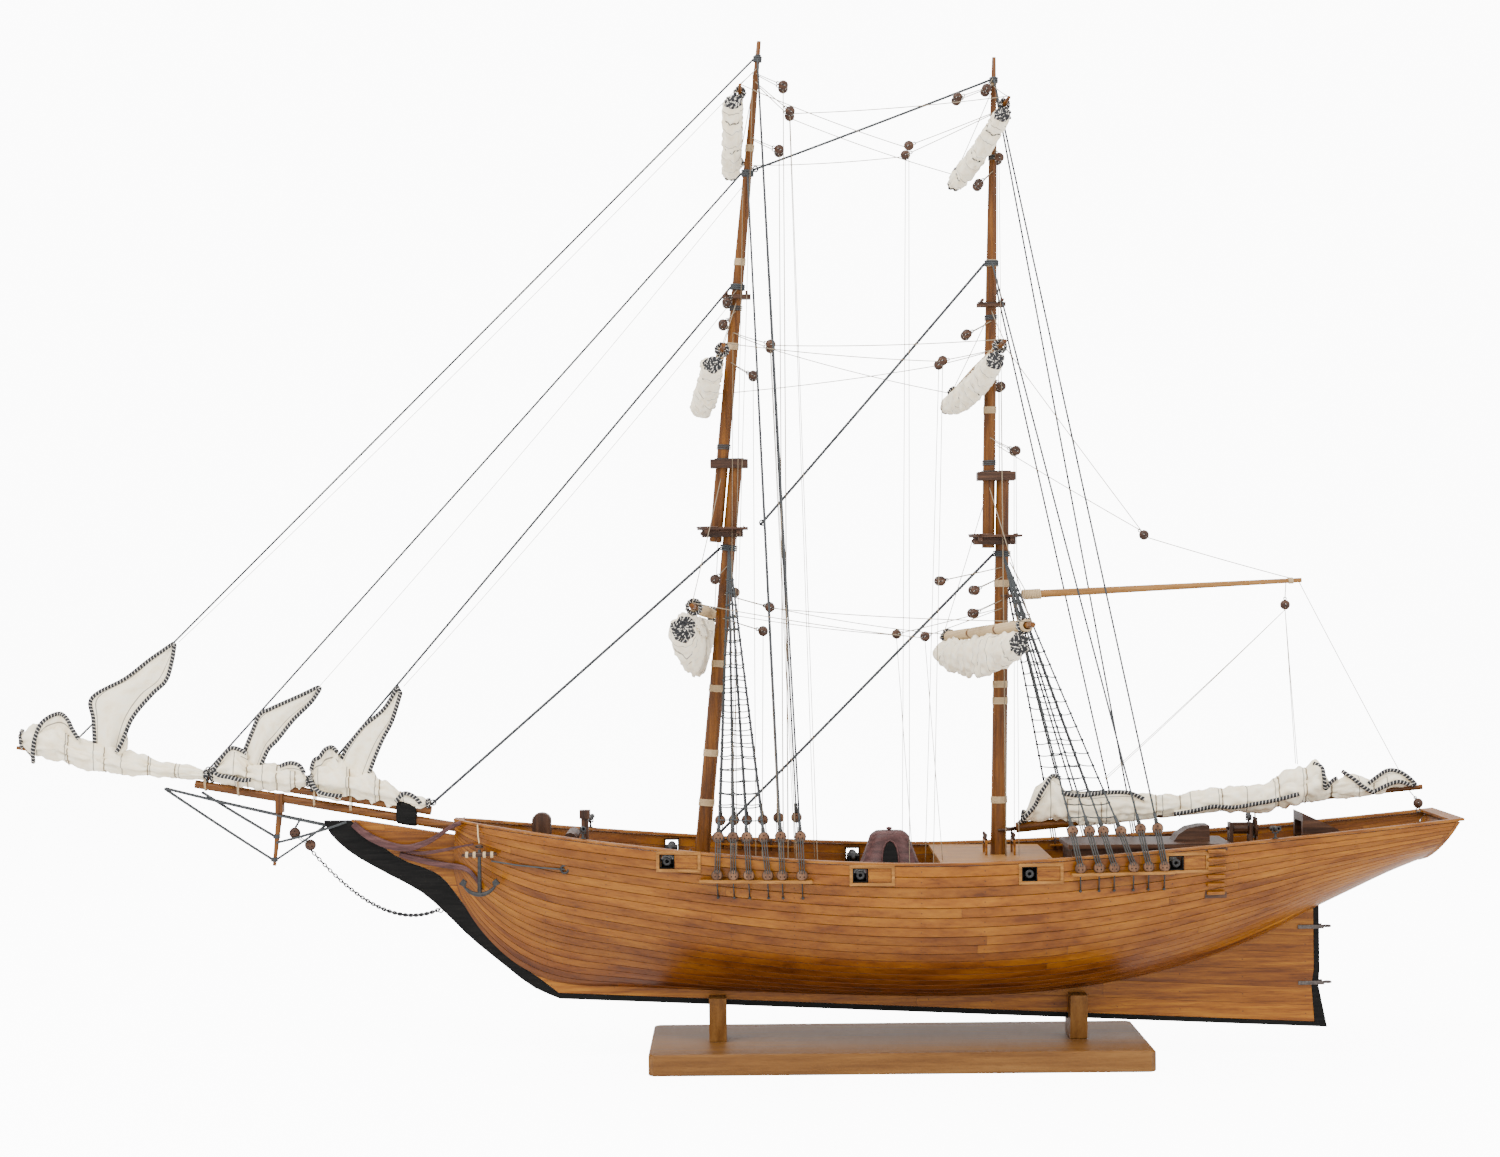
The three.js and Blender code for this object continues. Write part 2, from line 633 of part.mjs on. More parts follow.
// Half-breadth of the hull's outside near the rail.
function breadthAt(x) {
  let low = 0;
  let high = LAST;
  for (let i = 0; i < 24; i += 1) {
    const middle = (low + high) / 2;
    if (station(middle)[2] < x) low = middle;
    else high = middle;
  }
  return station(low)[3];
}

const eyeY = (x) => breadthAt(x) + 4.2;

// A disc on edge.
function deadeye(centre) {
  const half = at(0, DEADEYE.thick / 2, 0);
  return solid(bar(centre.clone().sub(half), centre.clone().add(half), DEADEYE.r, DEADEYE.r, 6));
}

// A rope leg from the masthead to its deadeye pair: rope, upper deadeye and lanyard.
function leg(mast, part, z, channel, k, side, r) {
  const x = channel.eyes[k];
  const y = side * eyeY(x);
  const foot = at(x, y, channel.z + 1 + 2 * DEADEYE.r + GAP);
  const start = onAxis(mast, part, z).add(at(0, side * (radiusAt(mast, part, z) + GAP + 0.6), 0));
  const along = start.clone().sub(foot).normalize();
  const upper = foot.clone().addScaledVector(along, DEADEYE.above - 2 * DEADEYE.r);
  return join([rope(foot, start, r), deadeye(upper)]);
}

// An eye with its stay and its pairs of legs.
function rigging(mast, part, z, channel, legs, stay, r, stayR) {
  const parts = [ropeEye(mast, part, z, 4), rope(stay.head, stay.foot, stayR)];
  for (const k of legs) for (const side of [-1, 1]) parts.push(leg(mast, part, z, channel, k, side, r));
  return join(parts);
}

const jibBoomTop = (x) => at(x, 0, jibBoomZ(x) + JIB_BOOM.innerR + GAP + ROPE.stay);

// Each stay: the point at its masthead and the point where it is made fast.
function stayFrom(mast, part, z, foot) {
  const head = onAxis(mast, part, z);
  head.x -= radiusAt(mast, part, z) + GAP + 0.6;
  return { head, foot };
}

const STAYS = {
  fore: stayFrom(FORE, "lower", 310, at(-281, 0, 156.4)),
  foreTopmast: stayFrom(FORE, "top", 468, jibBoomTop(-354)),
  jib: stayFrom(FORE, "top", 537, jibBoomTop(-417)),
  flyingJib: stayFrom(FORE, "top", 606, jibBoomTop(-502)),
  main: stayFrom(MAIN, "lower", 305, at(-109, 0, 135)),
  mainTopmast: stayFrom(MAIN, "top", 481, at(-80, 0, 324)),
  mainTopgallant: stayFrom(MAIN, "top", 592, at(-82.5, 0, 539)),
};

// ---------------------------------------------------------------- channels and anchors

// A channel board with its lower deadeyes and the chain plates that run down the planking.
function channelBoard(channel, side) {
  const { x0, x1, z, eyes } = channel;
  const edge = (x) => breadthAt(x) + GAP + 0.3;
  const outline = [];
  for (let i = 0; i <= 6; i += 1) {
    const x = x0 + ((x1 - x0) * i) / 6;
    outline.push([x, side * edge(x)]);
  }
  for (let i = 6; i >= 0; i -= 1) {
    const x = x0 + ((x1 - x0) * i) / 6;
    outline.push([x, side * (edge(x) + 5.2)]);
  }
  const board = new THREE.ExtrudeGeometry(outlineOf(outline), { depth: 1.8, bevelEnabled: false });
  const parts = [solid(board.translate(0, 0, z - 0.9))];
  for (const x of eyes) {
    const y = side * eyeY(x);
    const [y0, y1] = [y, y - side * 0.8].sort((a, b) => a - b);
    parts.push(deadeye(at(x, y, z + 0.6 + DEADEYE.r)));
    parts.push(solid(block(x - 0.4, x + 0.4, y0, y1, z - 9, z + 1)));
  }
  return join(parts);
}

// An anchor hung by its ring: iron shank and curved arms, with the wooden stock athwart.
function anchor(x, y, ringZ) {
  const shank = solid(bar(at(x, y, ringZ - 2), at(x, y, ringZ - 29), 0.9, 1.3, 8));
  const stock = solid(bar(at(x - 10.5, y, ringZ - 5.5), at(x + 10.5, y, ringZ - 5.5), 1.4, 1.4, 6));
  const ring = solid(new THREE.TorusGeometry(2, 0.5, 4, 8).rotateX(Math.PI / 2).translate(x, y, ringZ - 0.4));
  const parts = [shank, stock, ring];
  const arm = (a) => at(x + 11 * Math.sin(a), y, ringZ - 18 - 11 * Math.cos(a));
  for (let i = -2; i < 2; i += 1) parts.push(solid(bar(arm(i * 0.5), arm((i + 1) * 0.5), 1, 1, 4)));
  const fluke = [[8, 0], [10.9, 0.8], [9.3, 4.2]];
  for (const side of [-1, 1]) {
    const outline = fluke.map(([a, b]) => [x + side * a, ringZ - 24 + b]);
    parts.push(solid(sidePlate(outline, y - 1.3, y + 1.3)));
  }
  return join(parts);
}

// ---------------------------------------------------------------- deck fittings

function bridgeDeck() {
  const [x0, x1] = [24, 92];
  const lip = 3;
  const floor = [];
  for (let i = 0; i <= 4; i += 1) {
    const x = x0 + ((x1 - x0) * i) / 4;
    floor.push([x, breadthAt(x) - PLANK - lip]);
  }
  const outline = [...floor, ...floor.map(([x, y]) => [x, -y]).reverse()];
  const top = railHeight(58) - CAP.thickness - 0.6;
  const planks = new THREE.ExtrudeGeometry(outlineOf(outline), { depth: 2, bevelEnabled: false });
  const parts = [solid(planks.translate(0, 0, top - 2))];
  for (const x of [x0 + 2, x1 - 4]) parts.push(solid(block(x, x + 2, -50, 50, 100, top - 1)));
  return onDeck(join(parts)).subtract(mastHole(MAIN, "lower", 100, 140));
}

function galleyHood() {
  const x = -4;
  const tiers = [[24, 18, 105], [19, 14.5, 119], [14, 11.5, 131], [12, 10, 136]];
  const parts = [];
  for (let i = 0; i + 1 < tiers.length; i += 1) {
    const [a, b, z0] = tiers[i];
    const [c, d, z1] = tiers[i + 1];
    const shape = new THREE.CylinderGeometry(Math.SQRT2, Math.SQRT2, z1 - z0, 4);
    shape.rotateY(Math.PI / 4).rotateX(Math.PI / 2).translate(x, 0, (z0 + z1) / 2);
    const position = shape.attributes.position;
    for (let k = 0; k < position.count; k += 1) {
      const high = position.getZ(k) > (z0 + z1) / 2;
      position.setX(k, x + (position.getX(k) - x) * (high ? c : a));
      position.setY(k, position.getY(k) * (high ? d : b));
    }
    parts.push(solid(shape));
  }
  parts.push(solid(bar(at(x, 0, 135), at(x, 0, 138), 2.4, 1.6, 8)));
  const doorway = sidePlate([[x - 7, 100], [x + 7, 100], [x + 3, 116], [x, 122], [x - 3, 116]], -30, -9);
  return onDeck(join(parts)).subtract(solid(doorway));
}

function cabinTrunk() {
  const walls = solid(block(104, 198, -24, 24, 100, 128.5));
  const roof = solid(block(102, 200, -26, 26, 128, 130.5));
  const hood = [[167, 130], [189, 130], [189, 140], [184, 140], [176, 138.4], [170, 134.5]];
  return onDeck(join([walls, roof, solid(sidePlate(hood, -9, 9))]));
}

// A wedge-shaped companion with its doorway facing forward.
function sternCompanion() {
  const side = [[244, 110], [284, 110], [284, 127], [262, 139], [244, 147.5]];
  const body = solid(sidePlate(side, -15, 15));
  const doorway = solid(block(240, 250, -10, 10, 120, 142));
  return onDeck(body.subtract(doorway));
}

const WINDLASS = { x: -196, z: 136, r: 4.1, half: 19.5 };

function windlassBitts() {
  const { x, z, r } = WINDLASS;
  const beam = solid(block(x + 6, x + 9.5, -21.6, 21.6, 126, 130));
  const cheeks = [-20, 20].map((y) => solid(block(x - 2, x + 9.5, y - 1.6, y + 1.6, 115, 130)));
  const bore = solid(bar(at(x, -30, z), at(x, 30, z), r + 0.5, r + 0.5, 12));
  const middle = solid(block(x - 4.5, x + 10, -3.2, 3.2, 115, 129));
  const post = solid(block(x + 5.7, x + 10, -3.2, 3.2, 115, 152));
  const cap = solid(block(x + 4.8, x + 11, -4.2, 4.2, 147, 152));
  return onDeck(join([beam, ...cheeks, middle, post, cap])).subtract(bore);
}

function windlassBarrel() {
  const { x, z, r, half } = WINDLASS;
  return bar(at(x, -half, z), at(x, half, z), r, r, 10);
}

const WHEEL = { x: 218, z: 137.5, r: 9, drumFrom: 204.5 };

function wheelStand() {
  const { x, z, drumFrom } = WHEEL;
  const post = (a) => solid(block(a, a + 2, -5, 5, 105, z + 3.5));
  const sole = solid(block(drumFrom - 2.6, x - 2.2, -7, 7, 105, 121.5));
  const bore = solid(bar(at(drumFrom - 10, 0, z), at(x + 10, 0, z), 1.4, 1.4, 10));
  return onDeck(join([post(drumFrom - 2.6), post(x - 4.2), sole])).subtract(bore);
}

// The steering wheel with its axle and rope drum.
function steeringWheel() {
  const { x, z, r, drumFrom } = WHEEL;
  const axle = solid(bar(at(drumFrom - 4, 0, z), at(x + 2, 0, z), 1, 1, 8));
  const drum = solid(bar(at(drumFrom - 0.1, 0, z), at(x - 4.7, 0, z), 3.6, 3.6, 12));
  const hub = solid(bar(at(x - 1.4, 0, z), at(x + 1.4, 0, z), 2, 2, 10));
  const rim = solid(new THREE.TorusGeometry(r - 2.6, 0.75, 4, 12).rotateY(Math.PI / 2).translate(x, 0, z));
  const parts = [axle, drum, hub, rim];
  for (let i = 0; i < 8; i += 1) {
    const a = (i * Math.PI) / 4;
    const spoke = (length) => at(x, length * Math.cos(a), z + length * Math.sin(a));
    parts.push(solid(bar(spoke(1), spoke(r), 0.5, 0.45, 4)));
  }
  return join(parts);
}

// ---------------------------------------------------------------- assembly

piece("base_board", baseBoard(), STAND_WOOD);
piece("fore_cradle", cradle(-STAND.cradleX), STAND_WOOD);
piece("aft_cradle", cradle(STAND.cradleX), STAND_WOOD);

piece("keel_frame", keelFrame(), HULL_WOOD);
piece("keel_strip", keelStrip(), BLACK);
piece("planking_port", planking(-1), HULL_WOOD);
piece("planking_starboard", planking(1), HULL_WOOD);
piece("transom", transom(), HULL_WOOD);
piece("main_deck", deckSlab(1.7, LAST - 0.25, -DECK, 0, 1), HULL_WOOD);
piece("cap_rail", capRail(), HULL_WOOD);

piece("bridge_deck", bridgeDeck(), HULL_WOOD);
piece("galley_hood", galleyHood(), DARK_WOOD);
piece("cabin_trunk", cabinTrunk(), DARK_WOOD);
piece("stern_companion", sternCompanion(), DARK_WOOD);
piece("windlass_bitts", windlassBitts(), DARK_WOOD);
piece("windlass_barrel", windlassBarrel(), DARK_WOOD);
piece("wheel_stand", wheelStand(), DARK_WOOD);
piece("steering_wheel", steeringWheel(), DARK_WOOD);

// A spar on the centreline, from its thicker end to its thinner one.
const spar = (x0, z0, x1, z1, r0, r1) => bar(at(x0, 0, z0), at(x1, 0, z1), r0, r1, 12);
const headSpar = ({ innerX, innerZ, outerX, outerZ, innerR, outerR }) =>
  spar(innerX, innerZ, outerX, outerZ, innerR, outerR);
const aftSpar = ({ foreX, foreZ, aftX, aftZ, foreR, aftR }) => spar(foreX, foreZ, aftX, aftZ, foreR, aftR);

piece("bowsprit", headSpar(BOWSPRIT), SPAR_WOOD);
piece("jib_boom", headSpar(JIB_BOOM), SPAR_WOOD);
piece("dolphin_striker", bar(at(-372.5, 0, 157.6), at(-376.5, 0, 120), 2.1, 1.1, 8), SPAR_WOOD);

for (const [label, mast] of [["fore", FORE], ["main", MAIN]]) {
  piece(label + "_lower_mast", mastSpar(mast, "lower"), SPAR_WOOD);
  piece(label + "_topmast", mastSpar(mast, "top"), SPAR_WOOD);
  piece(label + "_top", mastTop(mast), DARK_WOOD);
  piece(label + "_cap", mastCap(mast), DARK_WOOD);
}

for (const yard of YARDS) crossYard(yard);

piece("boom", aftSpar(BOOM), SPAR_WOOD);
piece("boom_sail", boomSail(), CANVAS);
piece("gaff", aftSpar(GAFF), SPAR_WOOD);

const flyingJibHead = [[-483, 190], [-470, 190], [-444, 228], [-437, 252], [-452, 243], [-484.5, 221]];
const jibHead = [[-394, 180], [-382, 180], [-372, 199], [-350, 225], [-361, 220.5], [-383, 210.5]];
const staysailHead = [[-338, 178], [-319, 176], [-309.5, 196], [-299, 223], [-310, 211], [-327, 193]];
piece("flying_jib", headsail(FLYING_JIB, flyingJibHead, STAYS.flyingJib), CANVAS);
piece("jib", headsail(JIB, jibHead, STAYS.jib), CANVAS);
piece("fore_staysail", headsail(FORE_STAYSAIL, staysailHead, STAYS.foreTopmast), CANVAS);

const [foreChannel, mainChannel] = CHANNELS;
for (const channel of CHANNELS)
  for (const [label, side] of [["port", -1], ["starboard", 1]])
    piece(`${channel.name}_channel_${label}`, channelBoard(channel, side), HULL_WOOD);

// Each group: mast, part, height of its eye, channel, the deadeyes its legs go to, its stay and rope sizes.
const { shroud, stay: thick, light } = ROPE;
const RIGGING = {
  fore_lower: [FORE, "lower", 310, foreChannel, [0, 1, 2, 3], STAYS.fore, shroud, thick],
  fore_topmast: [FORE, "top", 468, foreChannel, [], STAYS.foreTopmast, light, light],
  fore_jib: [FORE, "top", 537, foreChannel, [4], STAYS.jib, light, light],
  fore_flying_jib: [FORE, "top", 606, foreChannel, [5], STAYS.flyingJib, light, light],
  main_lower: [MAIN, "lower", 305, mainChannel, [0, 1, 2, 3], STAYS.main, shroud, thick],
  main_topmast: [MAIN, "top", 481, mainChannel, [4], STAYS.mainTopmast, light, light],
  main_topgallant: [MAIN, "top", 592, mainChannel, [5], STAYS.mainTopgallant, light, light],
};
for (const [label, facts] of Object.entries(RIGGING)) piece(label + "_rigging", rigging(...facts), ROPE_DARK);

piece("anchor_port", anchor(-250, -23.5, 133), IRON);
piece("anchor_starboard", anchor(-250, 23.5, 133), IRON);

export default model;
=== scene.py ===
"""A two-masted sailing ship model on its stand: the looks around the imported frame.

Lengths in the helpers are millimetres, as in the frame's design, and meshes are made in metres.
"""

import math

import bpy
from mathutils import Matrix, Vector, noise


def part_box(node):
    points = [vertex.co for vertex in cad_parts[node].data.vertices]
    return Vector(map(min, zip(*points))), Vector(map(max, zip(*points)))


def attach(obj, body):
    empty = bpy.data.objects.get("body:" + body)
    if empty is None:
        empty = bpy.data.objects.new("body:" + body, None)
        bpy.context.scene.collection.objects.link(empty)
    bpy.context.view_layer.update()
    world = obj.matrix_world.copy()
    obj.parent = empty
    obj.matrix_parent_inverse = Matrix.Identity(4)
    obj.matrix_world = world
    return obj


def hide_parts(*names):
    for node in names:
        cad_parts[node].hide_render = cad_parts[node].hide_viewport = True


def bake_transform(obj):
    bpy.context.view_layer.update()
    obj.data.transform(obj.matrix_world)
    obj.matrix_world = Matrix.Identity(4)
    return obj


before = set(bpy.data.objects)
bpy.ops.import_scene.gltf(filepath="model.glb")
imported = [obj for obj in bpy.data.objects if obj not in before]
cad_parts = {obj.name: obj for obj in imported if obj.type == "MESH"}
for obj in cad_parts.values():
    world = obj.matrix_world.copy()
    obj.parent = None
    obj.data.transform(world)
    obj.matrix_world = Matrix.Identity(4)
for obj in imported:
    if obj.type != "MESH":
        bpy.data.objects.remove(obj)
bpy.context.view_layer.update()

MM = 0.001
TURN = 2 * math.pi
SIDES = {-1: "port", 1: "starboard"}


def V(x, y, z):
    return Vector((x, y, z))


# ---------------------------------------------------------------- camera, floor and light

CAMERA = {"place": (-0.0867, -1.7, 0.2914), "lens": 67.32, "sensor": 36, "roll": 0.00925}


def make_camera():
    data = bpy.data.cameras.new("camera")
    data.lens = CAMERA["lens"]
    data.sensor_width = CAMERA["sensor"]
    data.clip_start = 0.05
    data.clip_end = 20
    camera = bpy.data.objects.new("camera", data)
    cos, sin = math.cos(CAMERA["roll"]), math.sin(CAMERA["roll"])
    axes = Matrix((V(cos, 0, -sin), V(sin, 0, cos), V(0, -1, 0))).transposed()
    camera.matrix_world = Matrix.Translation(CAMERA["place"]) @ axes.to_4x4()
    bpy.context.scene.collection.objects.link(camera)
    bpy.context.scene.camera = camera


def area_light(name, place, aim, size, power):
    data = bpy.data.lights.new(name, "AREA")
    data.shape = "RECTANGLE"
    data.size, data.size_y = size
    data.energy = power
    lamp = bpy.data.objects.new(name, data)
    lamp.location = place
    lamp.rotation_euler = (Vector(aim) - Vector(place)).to_track_quat("-Z", "Y").to_euler()
    bpy.context.scene.collection.objects.link(lamp)


BACKDROP_GLOW = 10.0
WORLD_LIGHT = 1.55


def make_stage():
    """A pale floor that curves up into the backdrop."""
    half, back, rise, bend = 9.0, 9.0, 7.0, 2.0
    profile = [(-9.0, 0.0), (back - bend, 0.0)]
    for i in range(1, 13):
        a = i / 12 * math.pi / 2
        profile.append((back - bend + bend * math.sin(a), bend - bend * math.cos(a)))
    profile.append((back, rise))
    verts = [(x, y, z) for y, z in profile for x in (-half, half)]
    faces = [(2 * i, 2 * i + 1, 2 * i + 3, 2 * i + 2) for i in range(len(profile) - 1)]
    mesh = bpy.data.meshes.new("backdrop")
    mesh.from_pydata(verts, [], faces)
    for face in mesh.polygons:
        face.use_smooth = True
    floor = bpy.data.objects.new("backdrop", mesh)
    bpy.context.scene.collection.objects.link(floor)
    paint = bpy.data.materials.new("pale_floor")
    paint.use_nodes = True
    shader = paint.node_tree.nodes["Principled BSDF"]
    shader.inputs["Base Color"].default_value = (0.90, 0.895, 0.90, 1)
    shader.inputs["Roughness"].default_value = 0.42
    shader.inputs["Emission Color"].default_value = (1, 1, 1, 1)
    path = paint.node_tree.nodes.new("ShaderNodeLightPath")
    glow = paint.node_tree.nodes.new("ShaderNodeMath")
    glow.operation = "MULTIPLY"
    glow.inputs[1].default_value = BACKDROP_GLOW
    paint.node_tree.links.new(path.outputs["Is Camera Ray"], glow.inputs[0])
    paint.node_tree.links.new(glow.outputs[0], shader.inputs["Emission Strength"])
    mesh.materials.append(paint)


def make_light():
    world = bpy.data.worlds.new("studio")
    world.use_nodes = True
    world.node_tree.nodes["Background"].inputs["Color"].default_value = (1, 0.99, 0.985, 1)
    strength = world.node_tree.nodes["Background"].inputs["Strength"]
    seen = world.node_tree.nodes.new("ShaderNodeLightPath").outputs["Is Camera Ray"]
    glow = world.node_tree.nodes.new("ShaderNodeMath")
    glow.operation = "MULTIPLY_ADD"
    glow.inputs[1].default_value = BACKDROP_GLOW
    glow.inputs[2].default_value = WORLD_LIGHT
    world.node_tree.links.new(seen, glow.inputs[0])
    world.node_tree.links.new(glow.outputs[0], strength)
    bpy.context.scene.world = world
    area_light("key", (-1.3, -1.5, 2.3), (-0.05, 0, 0.2), (1.4, 1.4), 92)
    area_light("fill", (1.8, -1.6, 1.2), (0, 0, 0.2), (1.6, 1.6), 30)
    area_light("top", (0.1, 0.4, 2.6), (0, 0.2, 0), (2.2, 1.6), 34)


make_camera()
make_stage()
make_light()


# ---------------------------------------------------------------- material helpers


class Graph:
    """One material and short ways to add nodes to it."""

    def __init__(self, name, roughness=0.5, metallic=0.0):
        self.material = bpy.data.materials.new(name)
        self.material.use_nodes = True
        self.tree = self.material.node_tree
        self.shader = self.tree.nodes["Principled BSDF"]
        self.shader.inputs["Roughness"].default_value = roughness
        self.shader.inputs["Metallic"].default_value = metallic

    def put(self, socket, value):
        if isinstance(value, bpy.types.NodeSocket):
            self.tree.links.new(value, socket)
        elif isinstance(value, tuple) and len(value) == 3 and socket.type == "RGBA":
            socket.default_value = (*value, 1)
        else:
            socket.default_value = value

    def add(self, kind, inputs=(), output=0, **settings):
        node = self.tree.nodes.new(kind)
        for key, value in settings.items():
            setattr(node, key, value)
        for key, value in dict(inputs).items():
            self.put(node.inputs[key], value)
        return node.outputs[output]

    def math(self, operation, a, b=0.0, c=0.0):
        return self.add("ShaderNodeMath", {0: a, 1: b, 2: c}, operation=operation)

    def plus(self, a, b):
        return self.math("ADD", a, b)

    def minus(self, a, b):
        return self.math("SUBTRACT", a, b)

    def times(self, a, b):
        return self.math("MULTIPLY", a, b)

    def over(self, a, b):
        return self.math("DIVIDE", a, b)

    def vector(self, operation, a, b):
        return self.add("ShaderNodeVectorMath", {0: a, 1: b}, operation=operation)

    def mix(self, factor, a, b, blend="MIX"):
        return self.add("ShaderNodeMix", {0: factor, 6: a, 7: b}, 2, data_type="RGBA", blend_type=blend)

    def millimetres(self, source):
        """Texture space in millimetres: the piece's own UV map, or the frame's axes."""
        if source == "uv":
            return self.add("ShaderNodeUVMap", uv_map="UVMap")
        place = self.add("ShaderNodeTexCoord", output=3)
        return self.vector("MULTIPLY", place, (1000, 1000, 1000))

    def noise(self, place, scale, detail=4.0, rough=0.55):
        stretched = self.vector("MULTIPLY", place, scale)
        return self.add(
            "ShaderNodeTexNoise", {"Vector": stretched, "Scale": 1.0, "Detail": detail, "Roughness": rough},
        )

    def random(self, a, b=0.0):
        pair = self.add("ShaderNodeCombineXYZ", {0: a, 1: b, 2: 0.37})
        return self.add("ShaderNodeTexWhiteNoise", {0: pair}, 0, noise_dimensions="3D")

    def ramp(self, factor, stops):
        node = self.tree.nodes.new("ShaderNodeValToRGB")
        self.put(node.inputs[0], factor)
        elements = node.color_ramp.elements
        while len(elements) < len(stops):
            elements.new(0.5)
        for element, (place, colour) in zip(elements, stops):
            element.position = place
            element.color = (*colour, 1)
        return node.outputs[0]

    def within(self, value, centre, reach, soft):
        """1 where value is nearer to centre than reach, falling to 0 over soft."""
        away = self.math("ABSOLUTE", self.minus(value, centre))
        return self.share(self.over(self.minus(reach + soft, away), soft))

    def share(self, value):
        """A value kept between 0 and 1."""
        return self.math("MINIMUM", self.math("MAXIMUM", value, 0.0), 1.0)

    def finish(self, colour, height=None, depth=0.1, roughness=None):
        self.put(self.shader.inputs["Base Color"], colour)
        if roughness is not None:
            self.put(self.shader.inputs["Roughness"], roughness)
        if height is not None:
            bump = self.add("ShaderNodeBump", {"Height": height, "Distance": depth * MM, "Strength": 1.0})
            self.put(self.shader.inputs["Normal"], bump)
        return self.material


SEAM_TONE = (0.045, 0.018, 0.007)


def wood(
    name, dark, mid, light, source="object", grain="x", roughness=0.4, figure=1.0, planks=None, shade=None,
):
    """Wood with long fibres along one axis.

    planks gives the axis along and across them, their width and length in mm, and the share that is seam.
    shade gives two heights, and the colour it darkens to below the lower one: the wood darkens downwards,
    partly a darker varnish low on the hull and partly painted shade under the turn of the bilge.
    """
    g = Graph(name, roughness)
    place = g.millimetres(source)
    order = {"x": (0.022, 0.45, 0.45), "y": (0.45, 0.022, 0.45), "z": (0.45, 0.45, 0.022)}[grain]
    fine = tuple(6 * v for v in order)
    if planks:
        split = g.add("ShaderNodeSeparateXYZ", {0: place})
        sockets = split.node.outputs
        along, across = sockets[planks["along"]], sockets[planks["across"]]
        if planks.get("slope"):
            across = g.plus(across, g.times(along, planks["slope"]))
        row = g.over(across, planks["width"])
        number = g.math("FLOOR", row)
        part = g.math("FRACT", row)
        start = g.times(g.random(number), planks["length"])
        run = g.over(g.plus(along, start), planks["length"])
        board = g.random(number, g.math("FLOOR", run))
        shift = g.add("ShaderNodeCombineXYZ", {0: g.times(board, 300.0), 1: g.times(board, 70.0), 2: 0.0})
        place = g.vector("ADD", place, shift)
    broad = g.noise(place, tuple(v * figure for v in order), 3.0, 0.5)
    fibre = g.noise(place, fine, 5.0, 0.6)
    tone = g.plus(g.times(broad, 0.7), g.times(fibre, 0.3))
    colour = g.ramp(tone, [(0.36, dark), (0.5, mid), (0.66, light)])
    pores = g.ramp(fibre, [(0.30, (0.55, 0.5, 0.45)), (0.42, (1, 1, 1))])
    colour = g.mix(0.55, colour, pores, "MULTIPLY")
    height = fibre
    if planks:
        lighter = g.ramp(
            board, [(0.0, (0.78, 0.72, 0.66)), (0.5, (0.97, 0.96, 0.94)), (1.0, (1.16, 1.16, 1.12))],
        )
        colour = g.mix(1.0, colour, lighter, "MULTIPLY")
        seam = g.within(part, 0.5, 0.5 - planks["seam"], planks["seam"])
        butt = g.within(g.math("FRACT", run), 0.5, 0.5 - 0.15 / planks["length"], 0.15 / planks["length"])
        clear = g.times(seam, butt)
        if planks.get("nails"):
            spacing = planks["nails"]
            ahead = g.times(g.minus(g.math("FRACT", g.over(along, spacing)), 0.5), spacing)
            beside = g.times(g.minus(part, 0.5), planks["width"] * planks.get("unit", 1.0))
            away = g.math("SQRT", g.plus(g.math("POWER", ahead, 2.0), g.math("POWER", beside, 2.0)))
            nail = g.within(away, 0.0, 0.3, 0.15)
            clear = g.times(clear, g.minus(1.0, g.times(nail, 0.75)))
        colour = g.mix(clear, SEAM_TONE, colour)
        height = g.plus(g.times(fibre, 0.25), clear)
    # painted shade, with a darker varnish: the wood is darkened below the lower height, fading out by the
    # upper one
    if shade:
        low, high, shade_tint = shade
        level = g.add("ShaderNodeSeparateXYZ", {0: g.millimetres("object")}).node.outputs[2]
        fall = g.plus(level, g.times(broad, 14.0))
        fade = g.share(g.over(g.minus(fall, low), high - low))
        colour = g.mix(1.0, colour, g.mix(fade, shade_tint, (1.0, 1.0, 1.0)), "MULTIPLY")
    g.shader.inputs["Specular IOR Level"].default_value = 0.26
    polish = g.plus(g.times(broad, 0.16), roughness - 0.08)
    return g.finish(colour, height, 0.12, polish)


def cord_material(name, dark, light, pitch=1.1, strands=3, roughness=0.85):
    """Twisted cord: the strands wind round as the UV map's u runs along it, with painted shade in the grooves
    between them.
    """
    g = Graph(name, roughness)
    place = g.millimetres("uv")
    split = g.add("ShaderNodeSeparateXYZ", {0: place}).node.outputs
    wind = g.plus(g.over(split[0], pitch), g.times(split[1], float(strands)))
    ridge = g.math("ABSOLUTE", g.math("SINE", g.times(wind, math.pi)))
    fuzz = g.noise(place, (4.0, 9.0, 1.0), 3.0, 0.7)
    # painted shade: the colour follows the ridge, darker in the grooves between the strands and lighter on
    # their crowns
    tone = g.plus(g.times(ridge, 0.6), g.times(fuzz, 0.4))
    colour = g.ramp(tone, [(0.15, dark), (0.7, light)])
    return g.finish(colour, tone, 0.12)


def whipped_material(name, thread, cloth):
    """Pale cord bound with a dark thread in open turns."""
    g = Graph(name, 0.85)
    split = g.add("ShaderNodeSeparateXYZ", {0: g.millimetres("uv")}).node.outputs
    wind = g.plus(g.over(split[0], 2.1), split[1])
    turn = g.within(g.math("FRACT", wind), 0.5, 0.38, 0.05)
    fuzz = g.noise(g.millimetres("uv"), (5.0, 8.0, 1.0), 3.0, 0.7)
    colour = g.mix(turn, g.ramp(fuzz, [(0.3, cloth), (0.7, (0.82, 0.77, 0.68))]), thread)
    return g.finish(colour, g.plus(turn, g.times(fuzz, 0.4)), 0.25)


